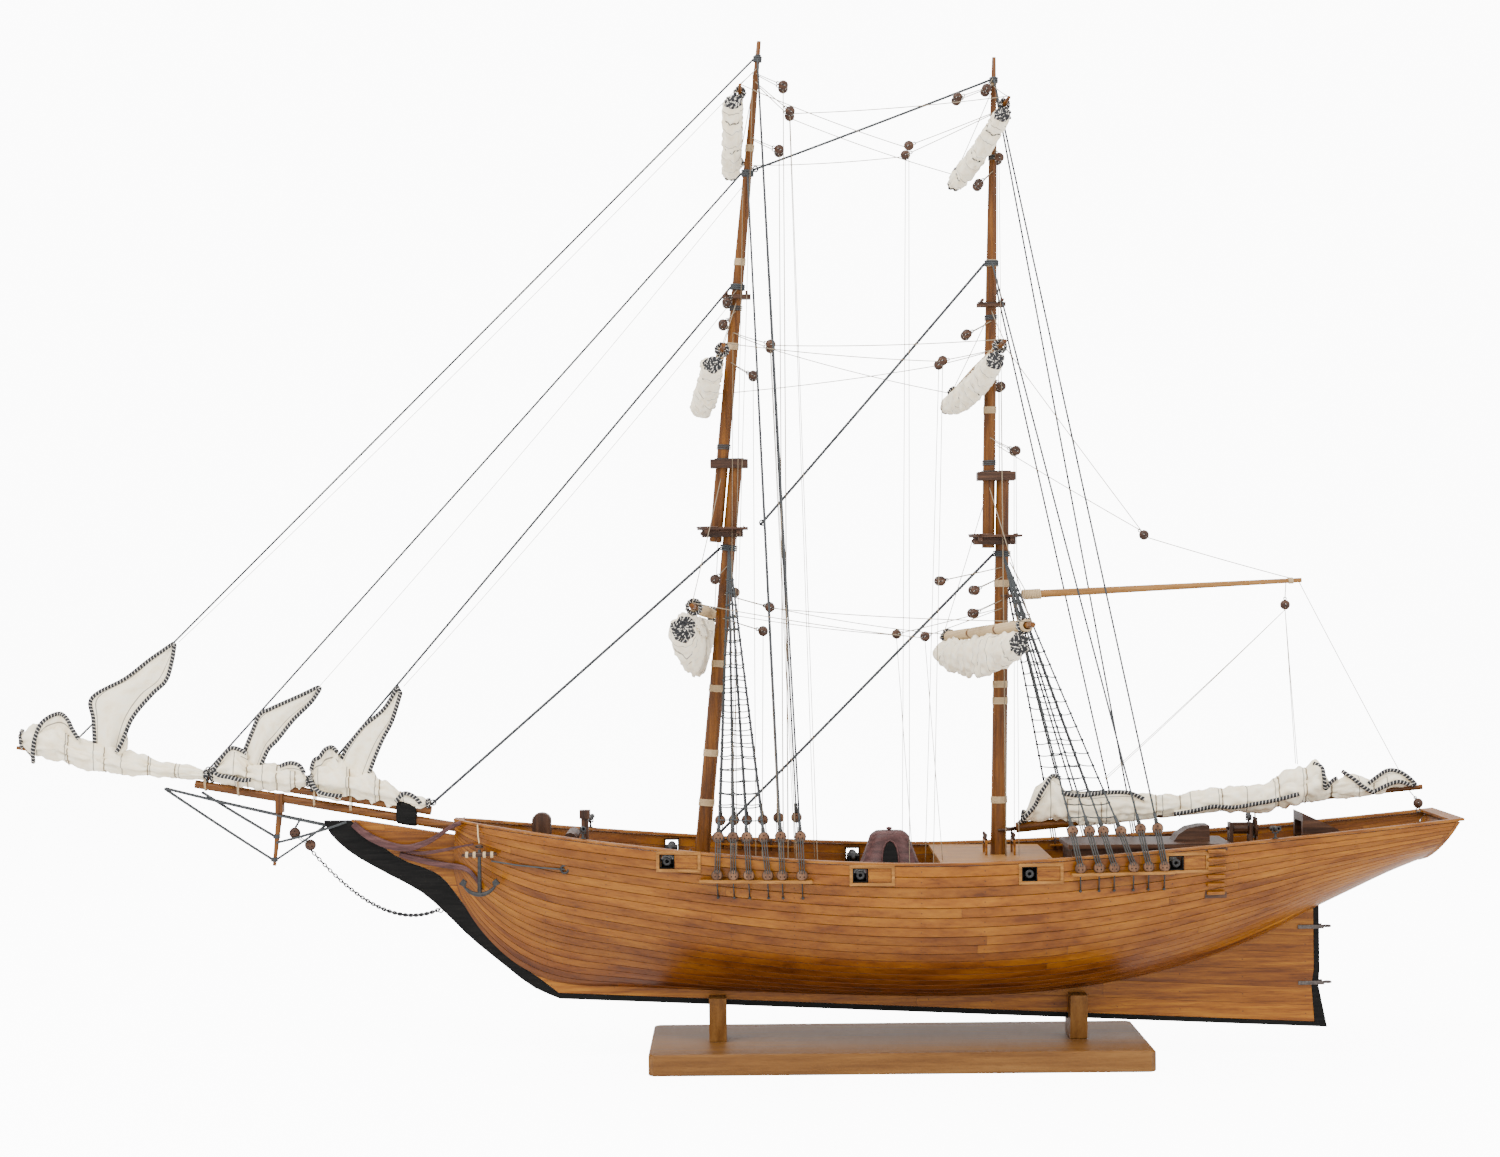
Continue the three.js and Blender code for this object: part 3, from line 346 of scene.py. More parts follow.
def canvas_material(name):
    """Thin cotton sailcloth: a plain weave, faint creases with painted shade in their hollows and painted
    light on their ridges, and dark seams between the panels.
    """
    g = Graph(name, 0.9)
    place = g.millimetres("uv")
    split = g.add("ShaderNodeSeparateXYZ", {0: place}).node.outputs
    warp = g.math("SINE", g.times(split[0], TURN / 0.55))
    weft = g.math("SINE", g.times(split[1], TURN / 0.55))
    weave = g.times(warp, weft)
    crease = g.noise(place, (0.16, 0.22, 1.0), 5.0, 0.6)
    # painted shade and light: the colour follows the crease noise that also bumps the cloth, darker in the
    # hollows and lighter on the ridges
    colour = g.ramp(crease, [(0.25, (0.86, 0.70, 0.46)), (0.5, (1.0, 0.89, 0.66)), (0.75, (1.0, 0.96, 0.80))])
    thread = g.mix(g.times(g.plus(weave, 1.0), 0.06), colour, (0.55, 0.48, 0.36))
    panel = g.within(g.math("FRACT", g.over(split[0], 17.0)), 0.5, 0.012, 0.01)
    stitched = g.mix(g.times(panel, 0.85), thread, (0.10, 0.09, 0.08))
    g.shader.inputs["Sheen Weight"].default_value = 0.25
    height = g.plus(g.times(weave, 0.10), crease)
    return g.finish(stitched, height, 0.35)


def metal_material(name, dark, light, roughness, metallic):
    g = Graph(name, roughness, metallic)
    place = g.millimetres("object")
    patches = g.noise(place, (0.5, 0.5, 0.5), 5.0, 0.6)
    grain = g.noise(place, (3.0, 3.0, 3.0), 3.0, 0.6)
    colour = g.ramp(patches, [(0.35, dark), (0.65, light)])
    rough = g.plus(g.times(patches, 0.3), roughness - 0.15)
    return g.finish(colour, grain, 0.08, rough)


def black_material():
    """Black stain over wood, worn a little brown along the grain; it also serves as painted shade in the gun
    ports' linings and the deadeyes' holes.
    """
    g = Graph("black_stain_and_shade", 0.5)
    place = g.millimetres("object")
    grain = g.noise(place, (0.06, 0.8, 0.8), 5.0, 0.6)
    g.shader.inputs["Specular IOR Level"].default_value = 0.08
    colour = g.ramp(grain, [(0.3, (0.002, 0.002, 0.002)), (0.7, (0.008, 0.0075, 0.007))])
    return g.finish(colour, grain, 0.06, g.plus(g.times(grain, 0.2), 0.35))


# Each wood's dark, middle and light tone.
HONEY = [(0.098, 0.026, 0.0006), (0.176, 0.057, 0.0025), (0.255, 0.097, 0.006)]
GOLD = [(0.050, 0.014, 0.0006), (0.102, 0.032, 0.0016), (0.165, 0.058, 0.004)]
WALNUT = [(0.018, 0.0070, 0.0030), (0.044, 0.018, 0.0085), (0.085, 0.038, 0.018)]
BEECH = [(0.096, 0.037, 0.006), (0.136, 0.056, 0.010), (0.180, 0.081, 0.018)]
PALE = [(0.165, 0.070, 0.014), (0.245, 0.112, 0.026), (0.325, 0.160, 0.045)]
LIP = [(0.150, 0.056, 0.007), (0.225, 0.094, 0.016), (0.310, 0.140, 0.032)]
DEADEYE_WOOD = [(0.048, 0.021, 0.010), (0.105, 0.048, 0.023), (0.180, 0.090, 0.045)]

HULL_PLANKS = {"along": 0, "across": 1, "width": 1.0, "unit": 5.5, "length": 430, "seam": 0.05, "nails": 37.0}
MAT = {
    # the hull's planks darken towards the keel: partly a darker varnish, partly painted shade under the turn
    # of the bilge
    "hull": wood(
        "hull_planks", *HONEY, source="uv", roughness=0.34, planks=HULL_PLANKS,
        shade=(52, 98, (0.50, 0.36, 0.22))
    ),
    "keel": wood(
        "keel_planks", *HONEY, roughness=0.42,
        planks={
            "along": 0, "across": 2, "width": 10.5, "length": 260, "seam": 0.014, "nails": 38, "slope": 0.047,
        },
    ),
    "deck": wood(
        "deck_planks", *PALE, roughness=0.5,
        planks={"along": 0, "across": 1, "width": 3.2, "length": 90, "seam": 0.05}
    ),
    "trim": wood("honey_trim", *HONEY, roughness=0.38),
    "lip": wood("lip_wood", *LIP, roughness=0.5),
    "deadeye": wood("deadeye_wood", *DEADEYE_WOOD, grain="z", roughness=0.5),
    "walnut": wood("walnut", *WALNUT, roughness=0.42),
    "walnut_z": wood("walnut_upright", *WALNUT, grain="z", roughness=0.42),
    "stand": wood("stand_wood", *BEECH, roughness=0.5, figure=0.6),
    "stand_z": wood("stand_wood_upright", *BEECH, grain="z", roughness=0.5, figure=0.6),
    "spar_z": wood("mast_wood", *GOLD, grain="z", roughness=0.4),
    "spar_x": wood("spar_wood", *GOLD, grain="x", roughness=0.4),
    "spar_y": wood("yard_wood", *GOLD, grain="y", roughness=0.4),
    "pale": wood("bare_dowel", *PALE, grain="x", roughness=0.55),
    "black": black_material(),
    "iron": metal_material("blackened_iron", (0.006, 0.006, 0.007), (0.024, 0.023, 0.022), 0.5, 0.25),
    "steel": metal_material("rusted_steel", (0.035, 0.030, 0.028), (0.11, 0.09, 0.08), 0.5, 0.6),
    "canvas": canvas_material("sailcloth"),
    "edge": whipped_material("whipped_edge", (0.012, 0.012, 0.014), (0.62, 0.58, 0.50)),
    "shroud": cord_material("dark_cord", (0.010, 0.012, 0.013), (0.045, 0.050, 0.052)),
    "lanyard": cord_material("grey_lanyard", (0.012, 0.013, 0.013), (0.052, 0.052, 0.048), pitch=0.8),
    "plum": wood(
        "plum_wood", (0.030, 0.010, 0.009), (0.062, 0.022, 0.021), (0.105, 0.044, 0.040), roughness=0.45,
    ),
    "thread": cord_material("pale_thread", (0.10, 0.075, 0.045), (0.26, 0.20, 0.13), pitch=0.7),
    "lashing": cord_material("light_lashing", (0.26, 0.17, 0.08), (0.56, 0.41, 0.23), pitch=0.8),
    "chain": metal_material("chain", (0.006, 0.006, 0.007), (0.03, 0.03, 0.032), 0.5, 0.3),
}


# ---------------------------------------------------------------- mesh helpers


def circle(centre, side, other, radius, sides):
    """Points round a centre, in the plane of two directions."""
    angles = (TURN * k / sides for k in range(sides))
    return [centre + (side * math.cos(a) + other * math.sin(a)) * radius for a in angles]


class Skin:
    """Points, faces and texture coordinates in millimetres, gathered into one mesh."""

    def __init__(self):
        self.points, self.faces, self.uvs = [], [], []

    def grid(self, rows, uv=None, closed=False, caps=False, loop=False):
        """A sheet through rows of points. closed joins each row's ends, loop the last row to the first."""
        first, wide, count = len(self.points), len(rows[0]), len(rows)
        for row in rows:
            self.points.extend(row)
        uv = uv or (lambda i, j: (i, j))
        for i in range(count if loop else count - 1):
            here, there = first + i * wide, first + (i + 1) % count * wide
            for j in range(wide if closed else wide - 1):
                k = (j + 1) % wide
                self.faces.append([here + j, here + k, there + k, there + j])
                self.uvs.append([uv(i, j), uv(i, j + 1), uv(i + 1, j + 1), uv(i + 1, j)])
        if caps:
            last = first + (count - 1) * wide
            self.faces.append(list(range(first, first + wide))[::-1])
            self.uvs.append([uv(0, j) for j in range(wide)][::-1])
            self.faces.append(list(range(last, last + wide)))
            self.uvs.append([uv(count - 1, j) for j in range(wide)])

    def tube(self, path, radius, sides=8):
        """A round bar along a path. radius is a number or one value per point."""
        path = [Vector(p) for p in path]
        radii = radius if isinstance(radius, (list, tuple)) else [radius] * len(path)
        rows, lengths, side = [], [0.0], None
        for i, p in enumerate(path):
            before, after = path[max(i - 1, 0)], path[min(i + 1, len(path) - 1)]
            ahead = (after - before).normalized()
            if side is None:
                side = ahead.orthogonal().normalized()
            side = (side - ahead * side.dot(ahead)).normalized()
            other = ahead.cross(side)
            rows.append(circle(p, side, other, radii[i], sides))
            if i:
                lengths.append(lengths[-1] + (p - path[i - 1]).length)
        self.grid(rows, lambda i, j: (lengths[i], j / sides), closed=True, caps=True)

    def box(self, low, high):
        """A block between two corners."""
        x0, y0, z0 = low
        x1, y1, z1 = high
        corners = [V(x, y, z) for z in (z0, z1) for x, y in ((x0, y0), (x1, y0), (x1, y1), (x0, y1))]
        first = len(self.points)
        self.points.extend(corners)
        for face in ((0, 3, 2, 1), (4, 5, 6, 7), (0, 1, 5, 4), (1, 2, 6, 5), (2, 3, 7, 6), (3, 0, 4, 7)):
            self.faces.append([first + k for k in face])
            self.uvs.append([(corners[k].x, corners[k].z) for k in face])

    def prism(self, outline, low, high, axis):
        """An outline pushed along an axis. Its points are (x, z) for y, (y, z) for x and (x, y) for z."""
        place = {
            "x": lambda a, b, c: V(c, a, b), "y": lambda a, b, c: V(a, c, b), "z": lambda a, b, c: V(a, b, c),
        }[axis]
        rows = [[place(a, b, c) for a, b in outline] for c in (low, high)]
        self.grid(rows, closed=True, caps=True)

    def lathe(self, centre, axis, profile, sides=16):
        """Rings of (distance along the axis, radius) round an axis."""
        axis = Vector(axis).normalized()
        path = [Vector(centre) + axis * along for along, _ in profile]
        side = axis.orthogonal().normalized()
        other = axis.cross(side)
        rows = [circle(p, side, other, max(r, 0.01), sides) for p, (_, r) in zip(path, profile)]
        self.grid(rows, lambda i, j: (profile[i][0], j / sides), closed=True, caps=True)

    def ring(self, centre, normal, radius, thick, sides=6, steps=14, stretch=1.0, up=None):
        """A closed ring of round section; stretch lengthens it along up."""
        normal = Vector(normal).normalized()
        up = Vector(up).normalized() if up else normal.orthogonal().normalized()
        side = normal.cross(up)
        rows = []
        for i in range(steps):
            a = TURN * i / steps
            out = side * math.cos(a) + up * math.sin(a) * stretch
            p = Vector(centre) + out * radius
            out = out.normalized()
            rows.append(circle(p, out, normal, thick, sides))
        self.grid(rows, lambda i, j: (i, j / sides), closed=True, loop=True)


def piece(name, skin, material, body="ship", replaces=(), bevel=0.0, smooth=True, solidify=0.0):
    """Makes the mesh, gives it its material and lets it ride on its body."""
    mesh = bpy.data.meshes.new(name)
    mesh.from_pydata([p * MM for p in skin.points], [], skin.faces)
    layer = mesh.uv_layers.new(name="UVMap")
    layer.data.foreach_set("uv", [c for face in skin.uvs for corner in face for c in corner])
    mesh.validate()
    mesh.materials.append(MAT[material])
    obj = bpy.data.objects.new(name, mesh)
    bpy.context.scene.collection.objects.link(obj)
    mesh.polygons.foreach_set("use_smooth", [smooth] * len(mesh.polygons))
    if solidify:
        cloth = obj.modifiers.new("thickness", "SOLIDIFY")
        cloth.thickness = solidify * MM
    if bevel:
        edge = obj.modifiers.new("edges", "BEVEL")
        edge.width = bevel * MM
        edge.segments = 2
        edge.limit_method = "ANGLE"
        edge.angle_limit = math.radians(40)
    if body:
        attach(obj, body)
    if replaces:
        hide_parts(*replaces)
    return obj


def cad_points(node):
    return [v.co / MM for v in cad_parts[node].data.vertices]


def spar_ends(node):
    """The two ends of a round spar's axis and its radii there, from the frame."""
    points = cad_points(node)
    middle = sum(points, V(0, 0, 0)) / len(points)
    far = max(points, key=lambda p: (p - middle).length)
    along = (far - middle).normalized()
    low, high = min(p.dot(along) for p in points), max(p.dot(along) for p in points)
    rings = []
    for end in (low, high):
        ring = [p for p in points if abs(p.dot(along) - end) < 0.012 * (high - low) + 0.8]
        centre = sum(ring, V(0, 0, 0)) / len(ring)
        radius = max((p - centre - along * (p - centre).dot(along)).length for p in ring)
        rings.append((centre, radius))
    return rings


def mix(a, b, t):
    return a + (b - a) * t


def run_along(points):
    """The distance run at each point of a path."""
    run = [0.0]
    for a, b in zip(points, points[1:]):
        run.append(run[-1] + (b - a).length)
    return run


def curve_through(points, parts=6):
    """A smooth path through points, with each span cut into parts."""
    last = len(points) - 1
    path = []
    for i in range(last):
        p0, p1, p2, p3 = (points[max(0, min(last, k))] for k in (i - 1, i, i + 1, i + 2))
        for t in (k / parts for k in range(parts)):
            linear, square, cube = p2 - p0, 2 * p0 - 5 * p1 + 4 * p2 - p3, 3 * p1 - p0 - 3 * p2 + p3
            path.append(0.5 * (2 * p1 + linear * t + square * t * t + cube * t**3))
    return [*path, points[-1]]


def keep_node(node, material):
    """A CAD node that is shown as it is, with its own material."""
    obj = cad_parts[node]
    obj.data.materials.clear()
    obj.data.materials.append(MAT[material])


# ---------------------------------------------------------------- hull form, as the frame's design has it

KEEL_HALF, GAP, PLANK, BULWARK = 3, 0.35, 2.4, 17
CAP_THICK, CAP_WIDE, CAP_OVER = 1.5, 5.0, 0.9
OFFSETS = [
    (-268, 118, -266, 5.8, 0), (-262, 97, -257, 13, 0.05), (-247, 75, -243, 20.5, 0.1),
    (-226, 57, -224, 27.5, 0.15), (-200, 47.5, -200, 36.5, 0.25), (-160, 45, -160, 48, 0.45),
    (-110, 42.5, -110, 58, 0.7), (-40, 39.6, -40, 66.3, 0.95), (30, 38, 30, 68.5, 1),
    (90, 40.5, 90, 65.5, 1), (140, 47.5, 140, 59, 0.9), (185, 59, 185, 51.5, 0.8),
    (222, 73.5, 222, 46, 0.7), (250, 88, 252, 43, 0.65), (275, 100, 281, 41, 0.7),
    (296, 110, 306, 39.7, 0.8), (314, 117.5, 330, 38.5, 0.9),
]
LAST = len(OFFSETS) - 1
PORTS = {"x": (-141.5, -28.5, 70, 157), "length": 9.0, "height": 8.5, "below": 3.6}  # below the rail's top


def rail_height(x):
    run = x - 20
    if run < 0:
        return 124.6 + 23 * (-run / 285) ** 1.7
    return 124.6 + 20.5 * (run / 310) ** 1.6


def deck_height(x):
    return rail_height(x) - BULWARK


def port_sill(x):
    return rail_height(x) - PORTS["below"] - PORTS["height"]


def station(s):
    i = min(int(s), LAST - 1)
    t = s - i
    rows = (OFFSETS[max(0, min(LAST, k))] for k in (i - 1, i, i + 1, i + 2))
    return [
        0.5 * (2 * q + (r - p) * t + (2 * p - 5 * q + 4 * r - w) * t * t + (3 * q - p - 3 * r + w) * t**3)
        for p, q, r, w in zip(*rows)
    ]


def outside(s, t):
    """A point of the hull's starboard skin: s along the stations, t from the keel (0) to the top (1)."""
    keel_x, keel_z, rail_x, half, full = station(s)
    top = rail_height(rail_x) - CAP_THICK - GAP
    root = KEEL_HALF + GAP
    swell = (1 - (1 - t) ** (1.25 + 1.15 * full)) ** (1 / (1 + 0.6 * full))
    return V(keel_x + (rail_x - keel_x) * t, root + (half - root) * swell, keel_z + (top - keel_z) * t)


def inward(s, t, depth):
    a, b, p = outside(s, max(0, t - 0.01)), outside(s, min(1, t + 0.01)), outside(s, t)
    length = math.hypot(b.y - a.y, b.z - a.z)
    return V(
        p.x, max(KEEL_HALF + GAP, p.y - depth * (b.z - a.z) / length), p.z + depth * (b.y - a.y) / length,
    )


def even_girth(s, parts=40):
    """Values of t that divide the section's girth evenly, as a function of the share of the girth."""
    ts = [(i / parts) ** 1.6 for i in range(parts + 1)]
    run = run_along([outside(s, t) for t in ts])

    def value(share):
        want = share * run[-1]
        k = next(i for i in range(1, parts + 1) if run[i] >= want - 1e-9)
        return ts[k - 1] + (ts[k] - ts[k - 1]) * (want - run[k - 1]) / (run[k] - run[k - 1])

    return value


def halve(below, high, rounds):
    """The place between 0 and high where below stops being true."""
    low = 0.0
    for _ in range(rounds):
        middle = (low + high) / 2
        if below(middle):
            low = middle
        else:
            high = middle
    return low


def station_at(x):
    return halve(lambda s: station(s)[2] < x, float(LAST), 24)


def breadth(x):
    """The hull's half-breadth at the rail."""
    return station(station_at(x))[3]


STRAKES = 19
GROOVE = 0.3  # the depth of a seam
BELT, BELT_PROUD = 19.0, 0.45  # the bulwark's lower edge below the rail, and how far it stands out


def planking(side, name, node):
    """One side's strip planking, with a groove at each seam and a slightly proud bulwark."""
    shares, marks = [0.0], [0.0]
    for k in range(STRAKES):
        for f in (0.05, 0.5, 0.95, 1.0):
            shares.append((k + f) / STRAKES)
            marks.append(k + f)
    rows, lengths = [], []
    count = 210
    for i in range(count + 1):
        s = i / count * LAST
        girth = even_girth(s)
        row = []
        for share, mark in zip(shares, marks):
            t = min(girth(min(share, 1.0)), 1.0)
            groove = GROOVE if abs(mark - round(mark)) < 0.01 and 0 < mark < STRAKES else 0.0
            p = inward(s, t, groove)
            lift = BELT_PROUD if rail_height(p.x) - p.z < BELT else 0.0
            row.append(V(p.x, side * (p.y + lift), p.z))
        lining = [inward(s, t, PLANK) for t in (1.0, 0.9, 0.8, 0.7, 0.55, 0.4, 0.25, 0.12, 0.0)]
        row += [V(p.x, side * p.y, p.z) for p in lining]
        rows.append(row if side > 0 else row[::-1])
        lengths.append(row[len(shares) - 1].x)
    across = marks + [STRAKES + 1 + 1.4 * k for k in range(9)]
    across = (across if side > 0 else across[::-1]) + [STRAKES + 14]
    skin = Skin()
    skin.grid(rows, lambda i, j: (lengths[i] + 400 * side, across[j]), closed=True, caps=True)
    hull = piece(name, skin, "hull", None)
    cutter = Skin()
    for x in PORTS["x"]:
        sill = port_sill(x)
        y0, y1 = sorted((side * 30, side * 90))
        cutter.box((x, y0, sill), (x + PORTS["length"], y1, sill + PORTS["height"]))
    tool = piece("cutter", cutter, "hull", None)
    cut = hull.modifiers.new("ports", "BOOLEAN")
    cut.object = tool
    cut.operation = "DIFFERENCE"
    cut.solver = "EXACT"
    bpy.context.view_layer.update()
    whole = bpy.data.meshes.new_from_object(hull.evaluated_get(bpy.context.evaluated_depsgraph_get()))
    hull.modifiers.clear()
    hull.data = whole
    bpy.data.objects.remove(tool)
    smooth_by_angle(hull, 25)
    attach(hull, "ship")
    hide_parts(node)


def smooth_by_angle(obj, degrees):
    """Shades a mesh smooth, with its sharp edges kept."""
    limit = math.radians(degrees)
    mesh = obj.data
    mesh.polygons.foreach_set("use_smooth", [True] * len(mesh.polygons))
    mesh.set_sharp_from_angle(angle=limit)


def cap_rail():
    """The rail round the hull: rounded strips over both sides, the stem and the stern."""
    skin = Skin()
    soft = 0.35
    for side in SIDES:
        rows, lengths = [], []
        for i in range(161):
            p = outside(i / 160 * LAST, 1)
            outer, inner = p.y + CAP_OVER, p.y + CAP_OVER - CAP_WIDE
            z = rail_height(p.x)
            low = z - CAP_THICK
            ring = [
                (outer, low), (outer, z - soft), (outer - soft, z), (inner + soft, z), (inner, z - soft),
                (inner, low),
            ]
            rows.append([V(p.x, side * y, h) for y, h in (ring if side > 0 else ring[::-1])])
            lengths.append(p.x)
        skin.grid(rows, lambda i, j, lengths=lengths: (lengths[i], 2.5 + 0.02 * j), closed=True, caps=True)
    bow, stern = OFFSETS[0], OFFSETS[LAST]
    for x0, x1, half in ((bow[2] - 1, bow[2] + 5, bow[3]), (stern[2] - 3, stern[2] + 5, stern[3])):
        rows = []
        for x in (x0, x1):
            z = rail_height(x)
            w = half + CAP_OVER
            rows.append([V(x, w, z), V(x, -w, z), V(x, -w, z - CAP_THICK), V(x, w, z - CAP_THICK)])
        skin.grid(rows, lambda i, j, x0=x0: (x0 + i, j), closed=True, caps=True)
    rail = piece("cap_rail_strips", skin, "trim", replaces=["cap_rail"])
    smooth_by_angle(rail, 50)


# ---------------------------------------------------------------- gun ports, steps and hull trim


def hull_y(x, z, side):
    """The hull's outside at a place near the rail."""
    s = station_at(x)
    return side * outside(s, halve(lambda t: outside(s, t).z < z, 1.0, 20)).y


def strip_on_hull(skin, x0, x1, z0, z1, side, proud, steps=4):
    """A thin strip bent on to the hull's side."""
    rows = []
    for i in range(steps + 1):
        x = x0 + (x1 - x0) * i / steps
        y0, y1 = hull_y(x, z0, side), hull_y(x, z1, side)
        rows.append([
            V(x, y0 - side * 0.6, z0), V(x, y0 + side * proud, z0), V(x, y1 + side * proud, z1),
            V(x, y1 - side * 0.6, z1),
        ])
    skin.grid(
        rows if side < 0 else [r[::-1] for r in rows], lambda i, j: (x0 + i * 3, z0 + j), closed=True,
        caps=True,
    )


# a gun's outline: distance out of the port, and radius
GUN_PROFILE = [
    (-24, 0.1), (-24, 1.2), (-22.5, 1.2), (-22, 2.6), (-18, 3.1), (-17.6, 3.4), (-17, 3.0), (-9, 2.6),
    (-8.6, 2.9), (-8.2, 2.5), (-1, 2.1), (0, 2.6), (1.2, 2.5), (1.2, 1.1), (-3, 1.0), (-3, 0.1),
]
# the frame's width, how far the lid's slide reaches, and the thickness of the black lining that paints shade
# in the opening
PORT_FRAME, PORT_RUN, PORT_SHADE_LINING = 1.9, 22.5, 0.7


def gun_port(number, x, side):
    """A port with its frame, a black lining of painted shade in its opening, the lid slid aft of the opening,
    and the gun behind it.
    """
    tag = f"{number}_{SIDES[side]}"
    sill = port_sill(x)
    top = sill + PORTS["height"]
    aft = x + PORTS["length"]
    frame_skin, lid = Skin(), Skin()
    wide, far, thick = PORT_FRAME, x + PORT_RUN, PORT_SHADE_LINING
    strip_on_hull(frame_skin, x - wide, far + wide, top, top + wide, side, 1.2)
    strip_on_hull(frame_skin, x - wide, far + wide, sill - wide, sill, side, 1.2)
    for a, b in ((x - wide, x), (far, far + wide)):
        strip_on_hull(frame_skin, a, b, sill, top, side, 1.2, 1)
    piece(f"port_frame_{tag}", frame_skin, "lip", bevel=0.2, smooth=False)
    # painted shade: a black lining inside the opening, where the cut through the hull's thickness lies in
    # shade
    lining = Skin()
    y0, y1 = sorted((hull_y(x, sill, side), hull_y(x, sill, side) - side * 5.5))
    for a in (x, aft - thick):
        lining.box((a, y0, sill), (a + thick, y1, top))
    for z in (sill, top - thick):
        lining.box((x, y0, z), (aft, y1, z + thick))
    piece(f"port_lining_{tag}", lining, "black", smooth=False)
    strip_on_hull(lid, aft + 0.4, far - 0.3, sill + 0.3, top - 0.3, side, 0.75)
    for z in (sill + 0.8, top - 1.6):
        strip_on_hull(lid, aft + 0.4, far - 0.3, z, z + 0.8, side, 1.0)
    piece(f"port_lid_{tag}", lid, "trim", bevel=0.12, smooth=False)
    gun = Skin()
    y = hull_y(x, top, side)
    middle = V(x + PORTS["length"] / 2, y - side * 1.5, (sill + top) / 2)
    gun.lathe(middle, (0, side, 0.02), GUN_PROFILE, 18)
    piece(f"gun_{tag}", gun, "iron")
    # The carriage is stained black and its cheeks reach up to the gun's middle, with a block between them:
    # partly the carriage itself, partly painted shade filling the opening behind the gun, where the inside of
    # the hull lies in shade.
    carriage_and_shade = Skin()
    floor = deck_height(x)
    y0, y1 = sorted((y - side * 6, y - side * 25))
    for dx in (-3.7, 2.0):
        carriage_and_shade.box((middle.x + dx, y0, floor + 1.4), (middle.x + dx + 1.7, y1, middle.z + 0.8))
    carriage_and_shade.box((middle.x - 3.7, y0, floor + 1.8), (middle.x + 3.7, y1, middle.z - 2.2))
    for back in (8, 21):
        wheel = V(middle.x, y - side * back, floor + 1.5)
        for dx in (-4.6, 3.6):
            carriage_and_shade.lathe(wheel + V(dx, 0, 0), (1, 0, 0), [(0, 1.4), (1.0, 1.4)], 12)
    piece(f"gun_carriage_and_shade_{tag}", carriage_and_shade, "black", bevel=0.15, smooth=False)


def side_steps(side):
    """Boarding steps: rounded slats on a walnut backing strip."""
    skin = Skin()
    tag = SIDES[side]
    x0, x1 = 180.5, 191.5
    for k in range(6):
        z = 128.6 - 5.0 * k
        strip_on_hull(skin, x0, x1, z - 1.1, z + 1.1, side, 2.6 - 0.08 * k)
    backing = Skin()
    strip_on_hull(backing, x0 - 1.2, x1 + 1.2, 100.5, rail_height(186) - 1.7, side, 0.7)
    piece(f"steps_{tag}", skin, "trim", bevel=0.7)
    piece(f"steps_backing_{tag}", backing, "walnut", smooth=False)


planking(-1, "strakes_port", "planking_port")
planking(1, "strakes_starboard", "planking_starboard")
cap_rail()
for side in SIDES:
    side_steps(side)
    for number, x in enumerate(PORTS["x"], 1):
        gun_port(number, x, side)

# ---------------------------------------------------------------- spars


TOPMAST_TAPER = 2.6  # how late a topmast thins, as in the frame; 1 is a straight taper


def round_spar(name, node, material, body, sides=20, steps=24, taper=1.0):
    """A spar turned finely round the frame's own axis."""
    (a, ra), (b, rb) = spar_ends(node)
    rings = [mix(a, b, i / steps) for i in range(steps + 1)]
    along = (b - a).normalized()
    if taper > 1 and a.z > b.z:
        a, b, ra, rb, rings, along = b, a, rb, ra, rings[::-1], -along
    radii = [ra + (rb - ra) * (i / steps) ** taper for i in range(steps + 1)]
    path = [a, *rings[1:-1], b - along * 0.25, b]
    radii = [ra] + radii[1:-1] + [rb, rb * 0.8]
    skin = Skin()
    skin.tube(path, radii, sides)
    obj = piece(name, skin, material, body, [node])
    smooth_by_angle(obj, 50)
    return a, b, ra, rb


def wrapping(name, at, along, radius, length, material, body="ship", cord=0.5):
    """Close turns of cord round a spar."""
    skin = Skin()
    along = along.normalized()
    side = along.orthogonal().normalized()
    other = along.cross(side)
    turns = max(2, int(length / (2 * cord)))
    path = []
    for i in range(turns * 14 + 1):
        a = TURN * i / 14
        out = side * math.cos(a) + other * math.sin(a)
        path.append(at + along * (length * (i / (turns * 14) - 0.5)) + out * (radius + cord * 0.7))
    skin.tube(path, cord, 5)
    return piece(name, skin, material, body)


MASTS = {}
for label in ("fore", "main"):
    for part, node in (("lower", "lower_mast"), ("top", "topmast")):
        taper = TOPMAST_TAPER if part == "top" else 1.0
        ends = round_spar(f"{label}_{part}_spar", f"{label}_{node}", "spar_z", "ship", taper=taper)
        low, high = sorted(ends[:2], key=lambda p: p.z)
        foot_r, head_r = max(ends[2:]), min(ends[2:])
        MASTS[label, part] = (low, high, foot_r, head_r)


def mast_point(label, part, z):
    low, high, _, _ = MASTS[label, part]
    return mix(low, high, (z - low.z) / (high.z - low.z))


def mast_radius(label, part, z):
    low, high, foot, head = MASTS[label, part]
    share = max(0.0, (z - low.z) / (high.z - low.z))
    return foot + (head - foot) * share ** (TOPMAST_TAPER if part == "top" else 1.0)


def mast_along(label):
    low, high, _, _ = MASTS[label, "lower"]
    return (high - low).normalized()


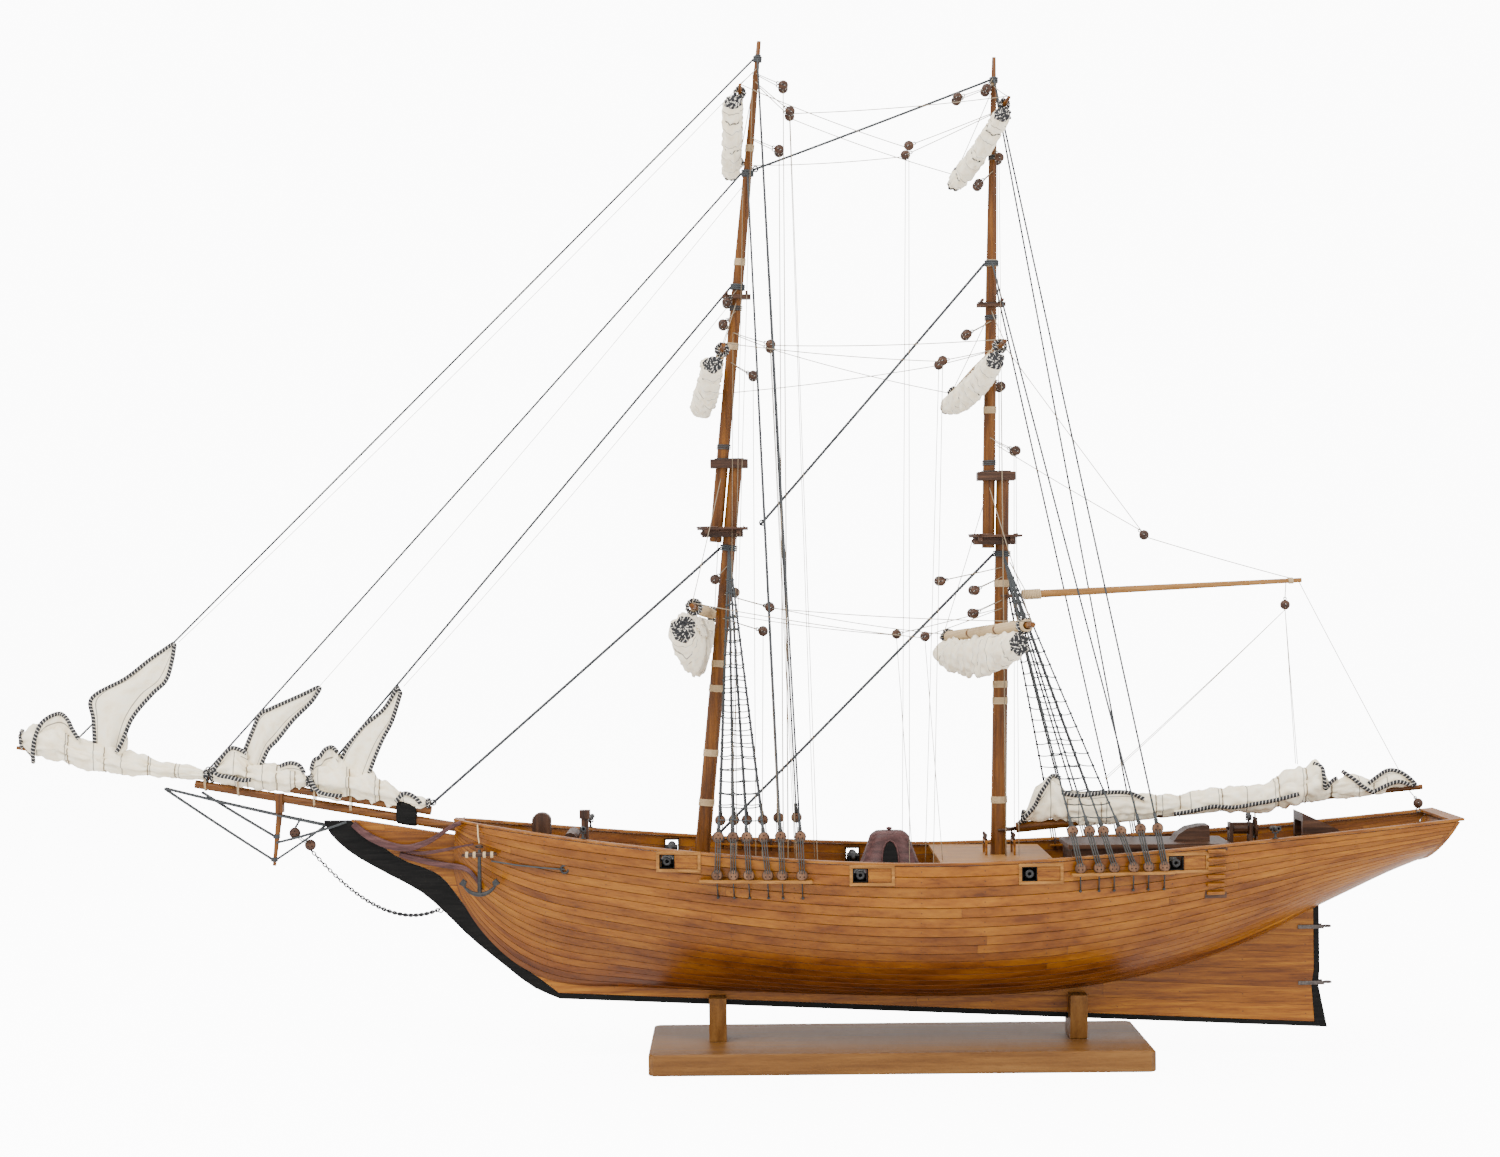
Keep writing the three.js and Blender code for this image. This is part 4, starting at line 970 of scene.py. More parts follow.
def mast_top(label):
    """The top: a D-shaped platform on trestletrees and crosstrees, and the cap above it."""
    low, high = (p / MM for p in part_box(f"{label}_top"))
    x0, x1, z = low.x, high.x, high.z - 1.6
    middle = (x0 + x1) / 2 + 0.5
    floor = []
    for k in range(17):
        a = math.pi / 2 + math.pi * k / 16
        floor.append((x0 + 13 + 13 * math.cos(a), 17 * math.sin(a)))
    floor += [(x1, -17), (x1, 17)]
    skin = Skin()
    skin.prism(floor, z, z + 1.5, "z")
    rim = Skin()
    rim.tube([V(x, y, z + 1.6) for x, y in floor[:17]], 0.55, 6)
    for side in SIDES:
        skin.box((middle - 13, side * 5.8 - 1.2, z - 4.4), (middle + 12, side * 5.8 + 1.2, z - 0.1))
        skin.lathe(V(middle - 13, side * 5.8, z - 2.2), (1, 0, 0), [(-1, 0.9), (0, 1.2), (0.5, 1.2)], 10)
    for x in (-10, 9):
        skin.box((middle + x - 1.2, -15, z - 2.3), (middle + x + 1.2, 15, z - 0.1))
    for k in range(5):
        y = -12 + 6 * k
        skin.box((x1 - 3, y - 0.4, z + 1.4), (x1 - 2.2, y + 0.4, z + 2.4))
    piece(f"{label}_platform", skin, "walnut", replaces=[f"{label}_top"], bevel=0.22, smooth=False)
    piece(f"{label}_platform_rim", rim, "walnut")
    low, high = (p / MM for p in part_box(f"{label}_cap"))
    cap = Skin()
    cap.box(low, high)
    piece(f"{label}_mast_cap", cap, "walnut", replaces=[f"{label}_cap"], bevel=0.5, smooth=False)
    bands = Skin()
    for part in ("lower", "top"):
        p = mast_point(label, part, (low.z + high.z) / 2)
        bands.ring(V(p.x, 0, high.z + 0.2), (0, 0, 1), mast_radius(label, part, high.z) + 0.7, 0.5, 6, 20)
    piece(f"{label}_cap_rings", bands, "iron")


BANDS = {
    "fore": ([156, 186, 225, 240], [371, 432, 455, 483, 536, 552, 607]),
    "main": ([156, 216, 226, 287], [360, 392, 448, 481, 545, 591]),
}
for label, (lower, upper) in BANDS.items():
    mast_top(label)
    for part, heights in (("lower", lower), ("top", upper)):
        for k, z in enumerate(heights):
            dark = part == "top" and k % 2 == 0
            wrapping(
                f"{label}_{part}_band_{k + 1}", mast_point(label, part, z), mast_along(label),
                mast_radius(label, part, z), 3.2 if dark else 4.2, "shroud" if dark else "lashing",
                cord=0.42 if dark else 0.26,
            )
    # crosstrees at the topmast's hounds
    cross = Skin()
    z = 462 if label == "fore" else 456
    p = mast_point(label, "top", z)
    for side in SIDES:
        cross.box((p.x - 8.5, side * 4.1 - 0.9, z - 1.3), (p.x + 8.5, side * 4.1 + 0.9, z + 1.3))
    for dx in (-6, 6):
        cross.box((p.x + dx - 0.8, -13, z + 1.2), (p.x + dx + 0.8, 13, z + 2.6))
    piece(f"{label}_crosstrees", cross, "walnut", bevel=0.2, smooth=False)

sprit = round_spar("bowsprit_spar", "bowsprit", "spar_x", "ship")
jib_boom = round_spar("jib_boom_spar", "jib_boom", "spar_x", "ship")
round_spar("dolphin_striker_spar", "dolphin_striker", "spar_z", "ship")
boom = round_spar("boom_spar", "boom", "spar_x", "spanker")
gaff = round_spar("gaff_spar", "gaff", "pale", "spanker")
SPRIT = sorted(sprit[:2], key=lambda p: p.x)
JIB_BOOM = sorted(jib_boom[:2], key=lambda p: p.x)
BOOM = sorted(boom[:2], key=lambda p: p.x)
GAFF = sorted(gaff[:2], key=lambda p: p.x)


def along_spar(ends, x):
    return mix(ends[0], ends[1], (x - ends[0].x) / (ends[1].x - ends[0].x))


def unit_round(n, power):
    """A rounded square of half width 1, as (across, up)."""
    ring = []
    for k in range(n):
        c, s = math.cos(TURN * k / n), math.sin(TURN * k / n)
        ring.append((math.copysign(abs(c) ** (2 / power), c), math.copysign(abs(s) ** (2 / power), s)))
    return ring


def bow_fittings():
    band = Skin()
    rows = []
    for x, swell in ((-302, -0.4), (-301.4, 0.3), (-296, 0.5), (-290.6, 0.3), (-290, -0.4)):
        p, q = along_spar(SPRIT, x), along_spar(JIB_BOOM, x)
        middle, tall = (p.z + q.z) / 2, (q.z - p.z) / 2 + 3.4 + swell
        rows.append([V(x, 3.9 * c * (1 + 0.1 * swell), middle + tall * s) for c, s in unit_round(28, 3.2)])
    band.grid(rows, lambda i, j: (i * 3.0, j * 1.0), closed=True, caps=True)
    piece("bow_band", band, "black")
    for k, x in enumerate((-330, -352, -398, -418)):
        p = (along_spar(SPRIT, x) + along_spar(JIB_BOOM, x)) / 2
        loops = Skin()
        for t in range(2):
            loops.ring(V(x + 0.7 * t, 0, p.z), (1, 0, 0.16), 3.4, 0.28, 6, 22, stretch=1.75, up=(0, 0, 1))
        piece(f"bow_lashing_{k + 1}", loops, "lashing")
    for k, x in enumerate((-471, -502)):
        wrapping(
            f"jib_boom_whipping_{k + 1}", along_spar(JIB_BOOM, x), JIB_BOOM[1] - JIB_BOOM[0], 2.0, 3,
            "shroud", cord=0.4,
        )


bow_fittings()
wrapping("gaff_lashing", along_spar(GAFF, 84), GAFF[1] - GAFF[0], 2.5, 11, "lashing", "spanker", 0.5)
wrapping("gaff_band", along_spar(GAFF, 241), GAFF[1] - GAFF[0], 1.5, 3, "lashing", "spanker", 0.35)


def jaws(name, ends, mast_x, r):
    """The forked inner end of the boom or gaff round the mast."""
    skin = Skin()
    inner = ends[0]
    along = (ends[1] - ends[0]).normalized()
    for side in SIDES:
        path = []
        for k in range(9):
            a = math.pi * 0.5 * k / 8
            path.append(
                V(
                    mast_x + (r + 1.5) * (math.cos(a) * 1.2 - 0.15), side * (0.3 + (r + 1.1) * math.sin(a)),
                    inner.z + (along.z / along.x) * (mast_x - inner.x),
                ),
            )
        path = [inner + along * 6 + V(0, side * 0.9, 0)] + path
        skin.tube(path, [1.3] + [1.2 - 0.05 * k for k in range(9)], 8)
    piece(name, skin, "walnut", "spanker")


jaws("boom_jaws", BOOM, mast_point("main", "lower", BOOM[0].z).x, 5.3)
jaws("gaff_jaws", GAFF, mast_point("main", "lower", GAFF[0].z).x, 5.0)


# ---------------------------------------------------------------- furled sails


def rings_of(node, along, origin, each=8):
    """A bundle's sections in the frame: distance along it, and the section's points."""
    points = sorted(((p - origin).dot(along), k, p) for k, p in enumerate(cad_points(node)))
    groups = []
    for s, _, p in points:
        if groups and abs(groups[-1][0] - s) < 1.5:
            groups[-1][1].append(p)
        else:
            groups.append((s, [p]))
    return [(s, ps) for s, ps in groups if len(ps) >= each]


def sections(node, along, across, up, origin):
    """Each section's distance along, centre and half sizes."""
    table = []
    for s, ps in rings_of(node, along, origin):
        a = [(p - origin).dot(across) for p in ps]
        b = [(p - origin).dot(up) for p in ps]
        table.append((
            s, (min(a) + max(a)) / 2, (min(b) + max(b)) / 2, (max(a) - min(a)) / 2, (max(b) - min(b)) / 2,
        ))
    return table


def share_of(table, s):
    """Where s lies along a table's bundle, from 0 to 1."""
    return (s - table[0][0]) / (table[-1][0] - table[0][0])


def read_table(table, s):
    """The row of a table at s, smoothly between its rows."""
    if s <= table[0][0]:
        return table[0][1:]
    for a, b in zip(table, table[1:]):
        if s <= b[0]:
            t = (s - a[0]) / (b[0] - a[0])
            t = t * t * (3 - 2 * t)
            return tuple(p + (q - p) * t for p, q in zip(a[1:], b[1:]))
    return table[-1][1:]


def cloth_swell(s, a, seed, rough, tie):
    """How far the wound cloth stands out, as a share of its section, at place s and angle a."""
    q = V(s * 0.045, math.cos(a) * 0.9, math.sin(a) * 0.9 + seed * 7.3)
    puff = noise.noise(q * 1.6) * 0.16 + noise.noise(q * 3.7 + V(9, 0, 0)) * 0.10
    drift = 2.2 * noise.noise(V(s * 0.05, a, seed))
    fold = noise.noise(V(s * 0.02, a * 1.9 + drift, seed * 3.1)) * 0.17
    crease = 0.055 * math.sin(a * 7 + s * 0.25 + 5 * noise.noise(V(s * 0.06, a * 0.7, seed + 4.0)))
    pull = crease * (0.5 + 1.6 * min(tie, 1))
    bend = noise.noise(V(s * 0.10 + a * 0.8, a * 1.5 - s * 0.06, seed + 5.0))
    ridge = 0.07 - 0.28 * abs(bend)
    wrinkle = 0.06 * noise.noise(V(s * 0.32, a * 2.3, seed + 11.0))
    return 0.98 + rough * (puff + fold + pull + wrinkle) + ridge


SPAR_ROOM, SPAR_SPREAD = 0.45, 0.35


def clear_of_spar(p, spar, along, spread):
    """A point of the cloth, moved off the spar if it lies in it."""
    axis, radius = spar(p)
    away = p - axis
    away -= along * away.dot(along)
    room = radius + SPAR_ROOM + SPAR_SPREAD * spread
    if away.length < room:
        p += away.normalized() * (room - away.length)
    return p


MOST_SWELL = 1.24  # cloth stays within this share of its section
TIE_REACH = 2.6  # how far to each side a tie pinches the cloth


def furl(
    skin, table, frame_axes, ties, seed, turns=1.95, start=0.5, steps=120, around=80, rough=1.0, pinch=0.3,
    spar=None,
):
    """Cloth wound into a bundle that puffs out between its ties. Returns its rows of points.

    A row is one section of the bundle. turns is how often the cloth goes round, and start is where its
    edge lies. rough sets its puffs and creases, pinch how tightly the ties hold, and spar what it keeps off.
    """
    origin, along, across, up = frame_axes
    rows, marks = [], []
    first, last = table[0][0], table[-1][0]
    for i in range(steps + 1):
        s = first + (last - first) * i / steps
        ca, cb, ha, hb = read_table(table, s)
        tie = sum(math.exp(-(((s - t) / TIE_REACH) ** 2)) for t in ties)
        close = 1 - pinch * min(tie, 1)
        end = min(i, steps - i) / steps
        mouth = 1 - 0.22 * math.exp(-((end / 0.02) ** 2))
        row = []
        for j in range(around + 1):
            v = j / around
            a = TURN * (start + turns * v)
            layer = 1.0 - 0.16 * (1 - v) * turns
            r = min(layer * close * mouth * cloth_swell(s, a, seed, rough, tie), MOST_SWELL)
            p = origin + along * s + across * (ca + ha * r * math.cos(a)) + up * (cb + hb * r * math.sin(a))
            if spar:
                p = clear_of_spar(p, spar, along, j % 7 / 7)
            row.append(p)
        rows.append(row)
        marks.append(s)
    run = run_along(rows[steps // 2])
    skin.grid(rows, lambda i, j: (marks[i], run[j]))
    return rows


def gasket(name, rows, place, body, cord=0.55, material="edge"):
    """A tie round the bundle at a place along it, from 0 to 1."""
    skin = Skin()
    row = rows[round(place * (len(rows) - 1))]
    centre = sum(row, V(0, 0, 0)) / len(row)
    step = max(1, len(row) // 40)
    start = int(len(row) * 0.25)
    path = [centre + (p - centre) * 1.03 for p in row[start::step]]
    skin.tube(path, cord, 6)
    piece(name, skin, material, body)


def wavy_edge(name, path, body, radius=0.85):
    """The whipped edge of a sail, along a path."""
    skin = Skin()
    skin.tube(path, radius, 7)
    return piece(name, skin, "edge", body)


YARD_THICK = {"course": 3.0, "topsail": 2.4, "topgallant": 1.9}
# Each square sail's flat width and length, its number of ties, and the seed of its creases.
YARD_SAILS = {
    "fore_course": ((200, 120), 5, 2), "fore_topsail": ((142, 88), 4, 3), "fore_topgallant": ((95, 66), 3, 4),
    "main_course": ((190, 104), 6, 5), "main_topsail": ((142, 78), 4, 6), "main_topgallant": ((98, 60), 3, 7),
}


def yard_axes(name):
    """The yard's centre, its direction to starboard, and square to it forward and up."""
    (a, _), (b, _) = spar_ends(name + "_yard")
    if a.y > b.y:
        a, b = b, a
    along = (b - a).normalized()
    across = V(-1, 0, 0)
    across = (across - along * across.dot(along)).normalized()
    up = along.cross(across)
    if up.z < 0:
        up = -up
    return (a + b) / 2, along, across, up, (b - a).length / 2


def yard_radius(half, r, s):
    return r * (0.5 + 0.5 * (1 - abs(s) / half) ** 0.7)


def ruffle(name, rows, end, outward, body, swell=1.0, depth=1.5):
    """The whipped edge of the cloth, gathered in loops that close the bundle's end."""
    row = rows[0] if end < 0 else rows[-1]
    centre = sum(row, V(0, 0, 0)) / len(row)
    path = []
    for turn, share in enumerate((0.95, 0.66, 0.38, 0.14)):
        for j, p in enumerate(row[turn:]):
            ripple = math.sin(j * 1.15 + turn) * depth * (0.5 + 0.5 * share)
            reach = share * swell + 0.05 * math.sin(j * 0.9 + turn)
            path.append(centre + (p - centre) * reach + outward * (0.6 + 0.9 * (1 - share) + ripple * 0.5))
    return wavy_edge(name, path, body, 0.95)


def yard_and_sail(name):
    centre, along, across, up, half = yard_axes(name)
    flat, count, seed = YARD_SAILS[name]
    r = YARD_THICK[name.split("_")[1]]
    skin = Skin()
    steps = 30
    path = [centre + along * half * (2 * i / steps - 1) for i in range(steps + 1)]
    skin.tube(path, [yard_radius(half, r, half * (2 * i / steps - 1)) for i in range(steps + 1)], 18)
    spar = piece(f"{name}_spar", skin, "spar_y", name, replaces=[name + "_yard"])
    smooth_by_angle(spar, 50)
    table = sections(name + "_sail", along, across, up, centre)
    reach = table[-1][0]
    ties = [reach * (2 * (k + 0.5) / count - 1) for k in range(count)]
    cloth = Skin()
    rows = furl(cloth, table, (centre, along, across, up), ties, seed)
    sail = piece(f"{name}_furled_sail", cloth, "canvas", name, replaces=[name + "_sail"], solidify=0.3)
    for k, t in enumerate(ties):
        gasket(f"{name}_gasket_{k + 1}", rows, (t + reach) / (2 * reach), name)
    for end, tag in SIDES.items():
        ruffle(f"{name}_ruffle_{tag}", rows, end, along * end, name)
        # the head of the sail gathered round the yardarm
        edge = []
        at = centre + along * end * (reach - 1.5)
        for k in range(60):
            a = TURN * k / 24
            out = across * math.cos(a) + up * math.sin(a)
            wave = 1 + 0.16 * math.sin(k * 1.7)
            edge.append(at + out * (r + 0.9) * wave + along * end * (0.05 * k - 1 + 0.7 * math.sin(k * 1.1)))
        wavy_edge(f"{name}_head_{tag}", edge, name, 0.9)
    # the robands that hold the sail to the yard
    lacing = Skin()
    turns = int(2 * reach / 7)
    route = []
    for i in range(turns * 12 + 1):
        a = TURN * i / 12
        s = -reach + 2 * reach * i / (turns * 12)
        out = across * math.cos(a) + up * math.sin(a)
        route.append(centre + along * s + out * (yard_radius(half, r, s) + 0.45))
    lacing.tube(route, 0.38, 5)
    piece(f"{name}_lacing", lacing, "lashing", name)


for name in YARD_SAILS:
    yard_and_sail(name)


def main_yard_wrapping():
    """Pale cord wound along the main course yard, in three parts, as stowed footropes."""
    centre, along, *_ = yard_axes("main_course")
    for k, (a, b) in enumerate(((-100, -38), (-30, 28), (36, 98))):
        middle = centre + along * (a + b) / 2
        wrapping(f"main_course_wrap_{k + 1}", middle, along, 2.5, b - a, "lashing", "main_course", 0.62)


main_yard_wrapping()


# Bundles round the boom and the jib boom, as the frame has them: x, middle above the spar, half height.
BOOM_ROWS = [
    (78.5, 6, 5.5), (86, 14, 12), (95, 16, 14.5), (106, 10, 10.5), (122, 6, 8.8), (150, 5.5, 7.8),
    (172, 4.6, 6.6), (196, 5.2, 7.8), (222, 3.9, 9.4), (240, 8.4, 13.0), (255, 10.5, 13.5),
    (264, 4.5, 5.2), (278, 5, 7.4), (290, 3.2, 4.6), (303, 5.5, 5.2), (313, 2.6, 2.2),
]


def bundle_table(rows, ends):
    table = []
    for x, above, half in rows:
        table.append((x, 0.0, along_spar(ends, x).z + above, 2.6 + half * 0.5, half))
    return table


def near_spar(ends, r0, r1):
    """A function that gives the spar's axis beside a point, and its radius there."""

    def find(p):
        x = max(ends[0].x, min(ends[1].x, p.x))
        return along_spar(ends, x), r0 + (r1 - r0) * (x - ends[0].x) / (ends[1].x - ends[0].x)

    return find


def edge_path(points, y):
    """A smooth line through (x, z) points at y, for a whipped edge; a point may bring its own y."""
    return curve_through([V(p[0], p[2] if len(p) > 2 else y, p[1]) for p in points])


def hem_fold(cloth, path, ends, depth=0.62, steps=6):
    """Cloth folded between a whipped edge and the bundle behind it."""
    fold = []
    for i, p in enumerate(path):
        core = along_spar(ends, max(ends[0].x, min(ends[1].x, p.x))) + V(0, 0, 2.5)
        row = []
        for j in range(steps + 1):
            u = j / steps
            bulge = math.sin(math.pi * u) * (1.0 + 0.5 * math.sin(i * 0.9 + j))
            row.append(
                mix(p, core, u * depth) + V(bulge * 0.6, math.copysign(bulge, p.y - core.y or -1) * 0.8, 0),
            )
        fold.append(row)
    cloth.grid(fold, lambda i, j: (j * 1.5 + 5.0, i * 1.2))


# The whipped edges on the boom sail: the usual y, and (x, z) points, some with a y of their own.
BOOM_HEMS = (
    (
        -7.5,
        (
            (74, 141.5, -4), (79, 147), (84, 153), (87, 160, -9.5), (91.5, 166.6, -8), (95, 170.5, -4),
            (100, 169, -4),
        ),
    ),
    (-5.0, ((100, 160, -7), (112, 158.5, -6.5), (130, 160, -3), (142, 159.5, -4), (150, 156, -6.5))),
    (
        -7.2,
        (
            (168, 146.8, -6.3), (180, 148.8), (192, 151.2), (204, 150.6), (216, 152.4), (230, 155.0, -8.4),
            (243, 158.5, -9.5),
        ),
    ),
    (
        -6.0,
        (
            (253, 176.5, -4), (257.5, 174, -7), (258.5, 167, -9), (259.5, 161.5, -7), (264, 166, -5),
            (267, 167.5, -4),
        ),
    ),
    (-5.5, ((270.5, 171.5, -3), (276, 167.5, -6.5), (283.5, 161.5, -6), (289, 158.5, -5))),
    (
        -4.6,
        (
            (286, 164, -4.6), (291, 168, -4.4), (298, 171.8, -3), (305, 171, -3.4), (311, 167, -3.6),
            (315, 163, -2.6),
        ),
    ),
    (-4.8, ((288, 158.5, -5), (296, 162.5, -5.2), (304, 165, -5.2), (311, 163, -3.8))),
)


FRAME_AXES = (V(0, 0, 0), V(1, 0, 0), V(0, 1, 0), V(0, 0, 1))


def boom_sail():
    """The fore-and-aft sail gathered round the boom, with its whipped edges showing."""
    table = bundle_table(BOOM_ROWS, BOOM)
    ties = [104, 124, 158, 172, 198, 232, 249, 264, 290]
    cloth = Skin()
    spar = near_spar(BOOM, 3.2, 1.5)
    rows = furl(
        cloth, table, FRAME_AXES, ties, 11, turns=1.75, start=0.3, steps=240, around=72,
        rough=1.15, pinch=0.22, spar=spar,
    )
    for y, points in BOOM_HEMS:
        hem_fold(cloth, edge_path(points, y), BOOM, 0.5)
    sail = piece("boom_furled_sail", cloth, "canvas", "spanker", replaces=["boom_sail"], solidify=0.3)
    for k, t in enumerate(ties):
        gasket(f"boom_gasket_{k + 1}", rows, share_of(table, t), "spanker", 0.4, "thread")
    for k, (y, points) in enumerate(BOOM_HEMS):
        wavy_edge(f"boom_sail_edge_{k + 1}", edge_path(points, y), "spanker", 1.3)
        if k in (1, 2):
            mirrored = [(x, z, -(p[2] if len(p) > 2 else y)) for p in points for x, z in [p[:2]]]
            wavy_edge(f"boom_sail_far_edge_{k + 1}", edge_path(mirrored, -y), "spanker", 1.0)
    ruffle("boom_sail_ruffle_aft", rows, 1, V(1, 0, 0), "spanker", 1.15, 1.2)
    ruffle("boom_sail_ruffle_fore", rows, -1, V(-1, 0, 0), "spanker", 1.1, 1.2)


boom_sail()


def jib_boom_top(x):
    return along_spar(JIB_BOOM, x).z + 2.6


# Each headsail: the bundle's rows as in BOOM_ROWS, the flap's two edges (x, z), and the whipped edges.
HEADSAILS = {
    "flying_jib": {
        "rows": [
            (-528, 5, 6), (-520, 5, 10), (-509, 6, 11), (-493, 2.5, 8.6), (-477, 1.5, 8.5), (-461, 0.5, 7.5),
            (-444, 0, 5.5), (-430, 0.5, 4.5), (-418, 1, 3.2),
        ],
        "luff": [
            (-484, 188), (-485, 209.4), (-485.6, 223), (-465.5, 234.3), (-450.9, 245.4), (-436.5, 255.2),
        ],
        "leech": [
            (-470, 188), (-462.1, 209.2), (-449.5, 224.5), (-441, 232.6), (-437.3, 243.5), (-435.3, 254.6),
        ],
        "edges": [
            [
                (-520.5, 184.3, -6.5), (-519.8, 195, -8.2), (-516.6, 206, -6.5), (-512, 211.2, -3),
                (-505.7, 213.4, 0), (-500.3, 210, -3.5), (-496.7, 204, -6), (-492.7, 198.2, -7.2),
            ],
            [(-529.5, 203.6, 4), (-530.5, 198, 5.5), (-527, 192, 4), (-522, 188, -2), (-520.5, 184.3, -6)],
            [(-470, 190, -7.4), (-467, 196, -6), (-464.5, 203, -3)],
        ],
        "flat": (128, 106), "ties": [-500, -478, -452, -436],
    },
    "jib": {
        "rows": [
            (-413, 2, 4.4), (-407, 6, 8.5), (-399, 8, 10.4), (-391, 6, 8.2), (-384, 5.6, 8), (-377, 6.2, 8.7),
            (-368, 5.6, 8), (-361, 6.5, 6.4), (-356, 6.5, 3.2),
        ],
        "luff": [
            (-396, 184), (-387.6, 204.8), (-383.9, 212.1), (-377.6, 215.3), (-360.2, 222.8), (-348.9, 228.1),
        ],
        "leech": [
            (-384, 180), (-379.5, 190.3), (-373.5, 196.6), (-364, 208.3), (-353, 219.1), (-347.5, 227.2),
        ],
        "edges": [
            [
                (-413, 180, -4.5), (-409, 176, -6.8), (-401, 174.2, -7.6), (-394, 172.5, -7.4),
                (-389, 172.8, -7.2),
            ],
            [(-412, 178, -5.5), (-407, 186, -6), (-402, 191.5, -4), (-397, 191, -3), (-392, 188.5, -4.5)],
            [(-372, 180.5, -5), (-366, 182.5, -4), (-360, 181, -5), (-357, 176, -5)],
        ],
        "flat": (92, 84), "ties": [-392, -374, -363],
    },
    "fore_staysail": {
        "rows": [
            (-352, 6.6, 7.5), (-347, 10.5, 12.3), (-340, 11.5, 13.3), (-331, 10.5, 12), (-321, 9.5, 10),
            (-310, 6.5, 6.8), (-299, 4.1, 4.5), (-288, 3.8, 3.5), (-283.5, 3.8, 2.6),
        ],
        "luff": [
            (-338, 178), (-333.3, 188), (-328.7, 195.2), (-321.3, 204.2), (-309.4, 214.1), (-300.8, 227.7),
        ],
        "leech": [
            (-319, 174), (-315.2, 184.2), (-311.4, 193.2), (-308.7, 198.7), (-304, 207.7), (-298.8, 224),
        ],
        "edges": [
            [
                (-353, 178, -5), (-351, 184, -7), (-347.5, 186, -8), (-344.5, 190.5, -5), (-340.5, 191.8, -3),
                (-337, 189, -6),
            ],
            [(-353, 172, -6), (-349, 166, -8), (-342, 163.5, -8.6), (-334, 162.6, -8)],
            [(-302, 158.5, -5.2), (-297, 163.5, -4.8), (-291, 161.5, -4.6), (-287, 157, -4.4)],
        ],
        "flat": (112, 98), "ties": [-330, -312, -300],
    },
}


def headsail(name, rows, luff, leech, edges, flat, ties):
    """A jib wound along the jib boom, with a flap of it drawn up its stay."""
    table = bundle_table(rows, JIB_BOOM)
    seed = len(name) + 3
    cloth = Skin()
    spar = near_spar(JIB_BOOM, 1.1, 2.8)
    wound = furl(
        cloth, table, FRAME_AXES, ties, seed, turns=1.35, start=0.2, steps=130, around=68,
        rough=1.7, pinch=0.17, spar=spar,
    )
    left, right = edge_path(luff, -1.6), edge_path(leech, -1.9)
    flap = []
    for i, (a, b) in enumerate(zip(left, right)):
        t = i / (len(left) - 1)
        line = []
        for j in range(17):
            u = j / 16
            belly = -2.6 * math.sin(math.pi * u) * math.sin(math.pi * min(1, t + 0.12))
            fan = 1.3 * math.sin(u * 8 + 2.0 * t + seed) * (1 - 0.7 * t) * math.sin(math.pi * u)
            line.append(mix(a, b, u) + V(0, belly + fan, 0))
        flap.append(line)
    cloth.grid(flap, lambda i, j: (j * 1.5 + 6.0, i * 1.8))
    for points in edges:
        hem_fold(cloth, edge_path(points, -6), JIB_BOOM)
    sail = piece(f"{name}_furled_sail", cloth, "canvas", replaces=[name], solidify=0.3)
    wavy_edge(f"{name}_luff_edge", left + right[::-1][:2], "ship", 1.35)
    wavy_edge(f"{name}_leech_edge", right, "ship", 1.35)
    for k, points in enumerate(edges):
        wavy_edge(f"{name}_edge_{k + 1}", edge_path(points, -6), "ship", 1.35)
    ruffle(f"{name}_ruffle_aft", wound, 1, V(1, 0, 0), "ship", 1.25, 1.6)
    ruffle(f"{name}_ruffle_fore", wound, -1, V(-1, 0, 0), "ship", 1.1, 1.2)
    for k, t in enumerate(ties):
        gasket(f"{name}_gasket_{k + 1}", wound, share_of(table, t), "ship", 0.38, "thread")


for name, facts in HEADSAILS.items():
    headsail(name, **facts)

# ---------------------------------------------------------------- standing rigging

CHANNELS = {
    "fore": {"from": -118, "to": -52, "z": 114.6, "eyes": (-107.5, -98, -89, -78, -69.5, -58)},
    "main": {"from": 99, "to": 160, "z": 117.2, "eyes": (104, 115, 124, 135.5, 144.5, 154)},
}
DEADEYE = 3.1  # radius of a deadeye
EYE_OUT, EYE_RISE = 4.2, 0.6  # a lower deadeye's place outside the hull, and its foot over the board's middle
EYE_SPAN = 25  # from a leg's foot to the far side of its upper deadeye
HEAD_ROOM = 0.6  # between a mast and the rope round its head, beyond the frame's gap
# Each stay's rig: mast and part, height at the mast, legs, the stay's foot (x, z), rope and stay radius.
# A foot with no height lies on the jib boom.
LEGS = {
    "fore_lower": ("fore", "lower", 310, (0, 1, 2, 3), (-281, 156.4), 0.6, 0.88),
    "fore_topmast": ("fore", "top", 468, (), (-354, 0), 0.6, 0.72),
    "fore_jib": ("fore", "top", 537, (4,), (-417, 0), 0.6, 0.66),
    "fore_flying_jib": ("fore", "top", 606, (5,), (-502, 0), 0.6, 0.62),
    "main_lower": ("main", "lower", 305, (0, 1, 2, 3), (-109, 135), 0.6, 0.88),
    "main_topmast": ("main", "top", 481, (4,), (-80, 324), 0.6, 0.85),
    "main_topgallant": ("main", "top", 592, (5,), (-82.5, 539), 0.6, 0.75),
}


def deadeye(skin, centre, hole_shade):
    """A grooved disc on edge, with its three holes, each filled by a black plug of painted shade."""
    profile = [
        (-1.3, 0.1), (-1.3, 2.2), (-0.95, 2.85), (-0.4, 3.1), (0, 2.75), (0.4, 3.1), (0.95, 2.85), (1.3, 2.2),
        (1.3, 0.1),
    ]
    skin.lathe(centre, (0, 1, 0), profile, 18)
    # each hole is a black plug a little proud of both faces: painted shade in the hole
    for k in range(3):
        a = math.pi / 2 + TURN * k / 3
        place = centre + V(1.35 * math.cos(a), 0, 1.35 * math.sin(a))
        hole_shade.lathe(place, (0, 1, 0), [(-1.36, 0.1), (-1.36, 0.42), (1.36, 0.42), (1.36, 0.1)], 8)


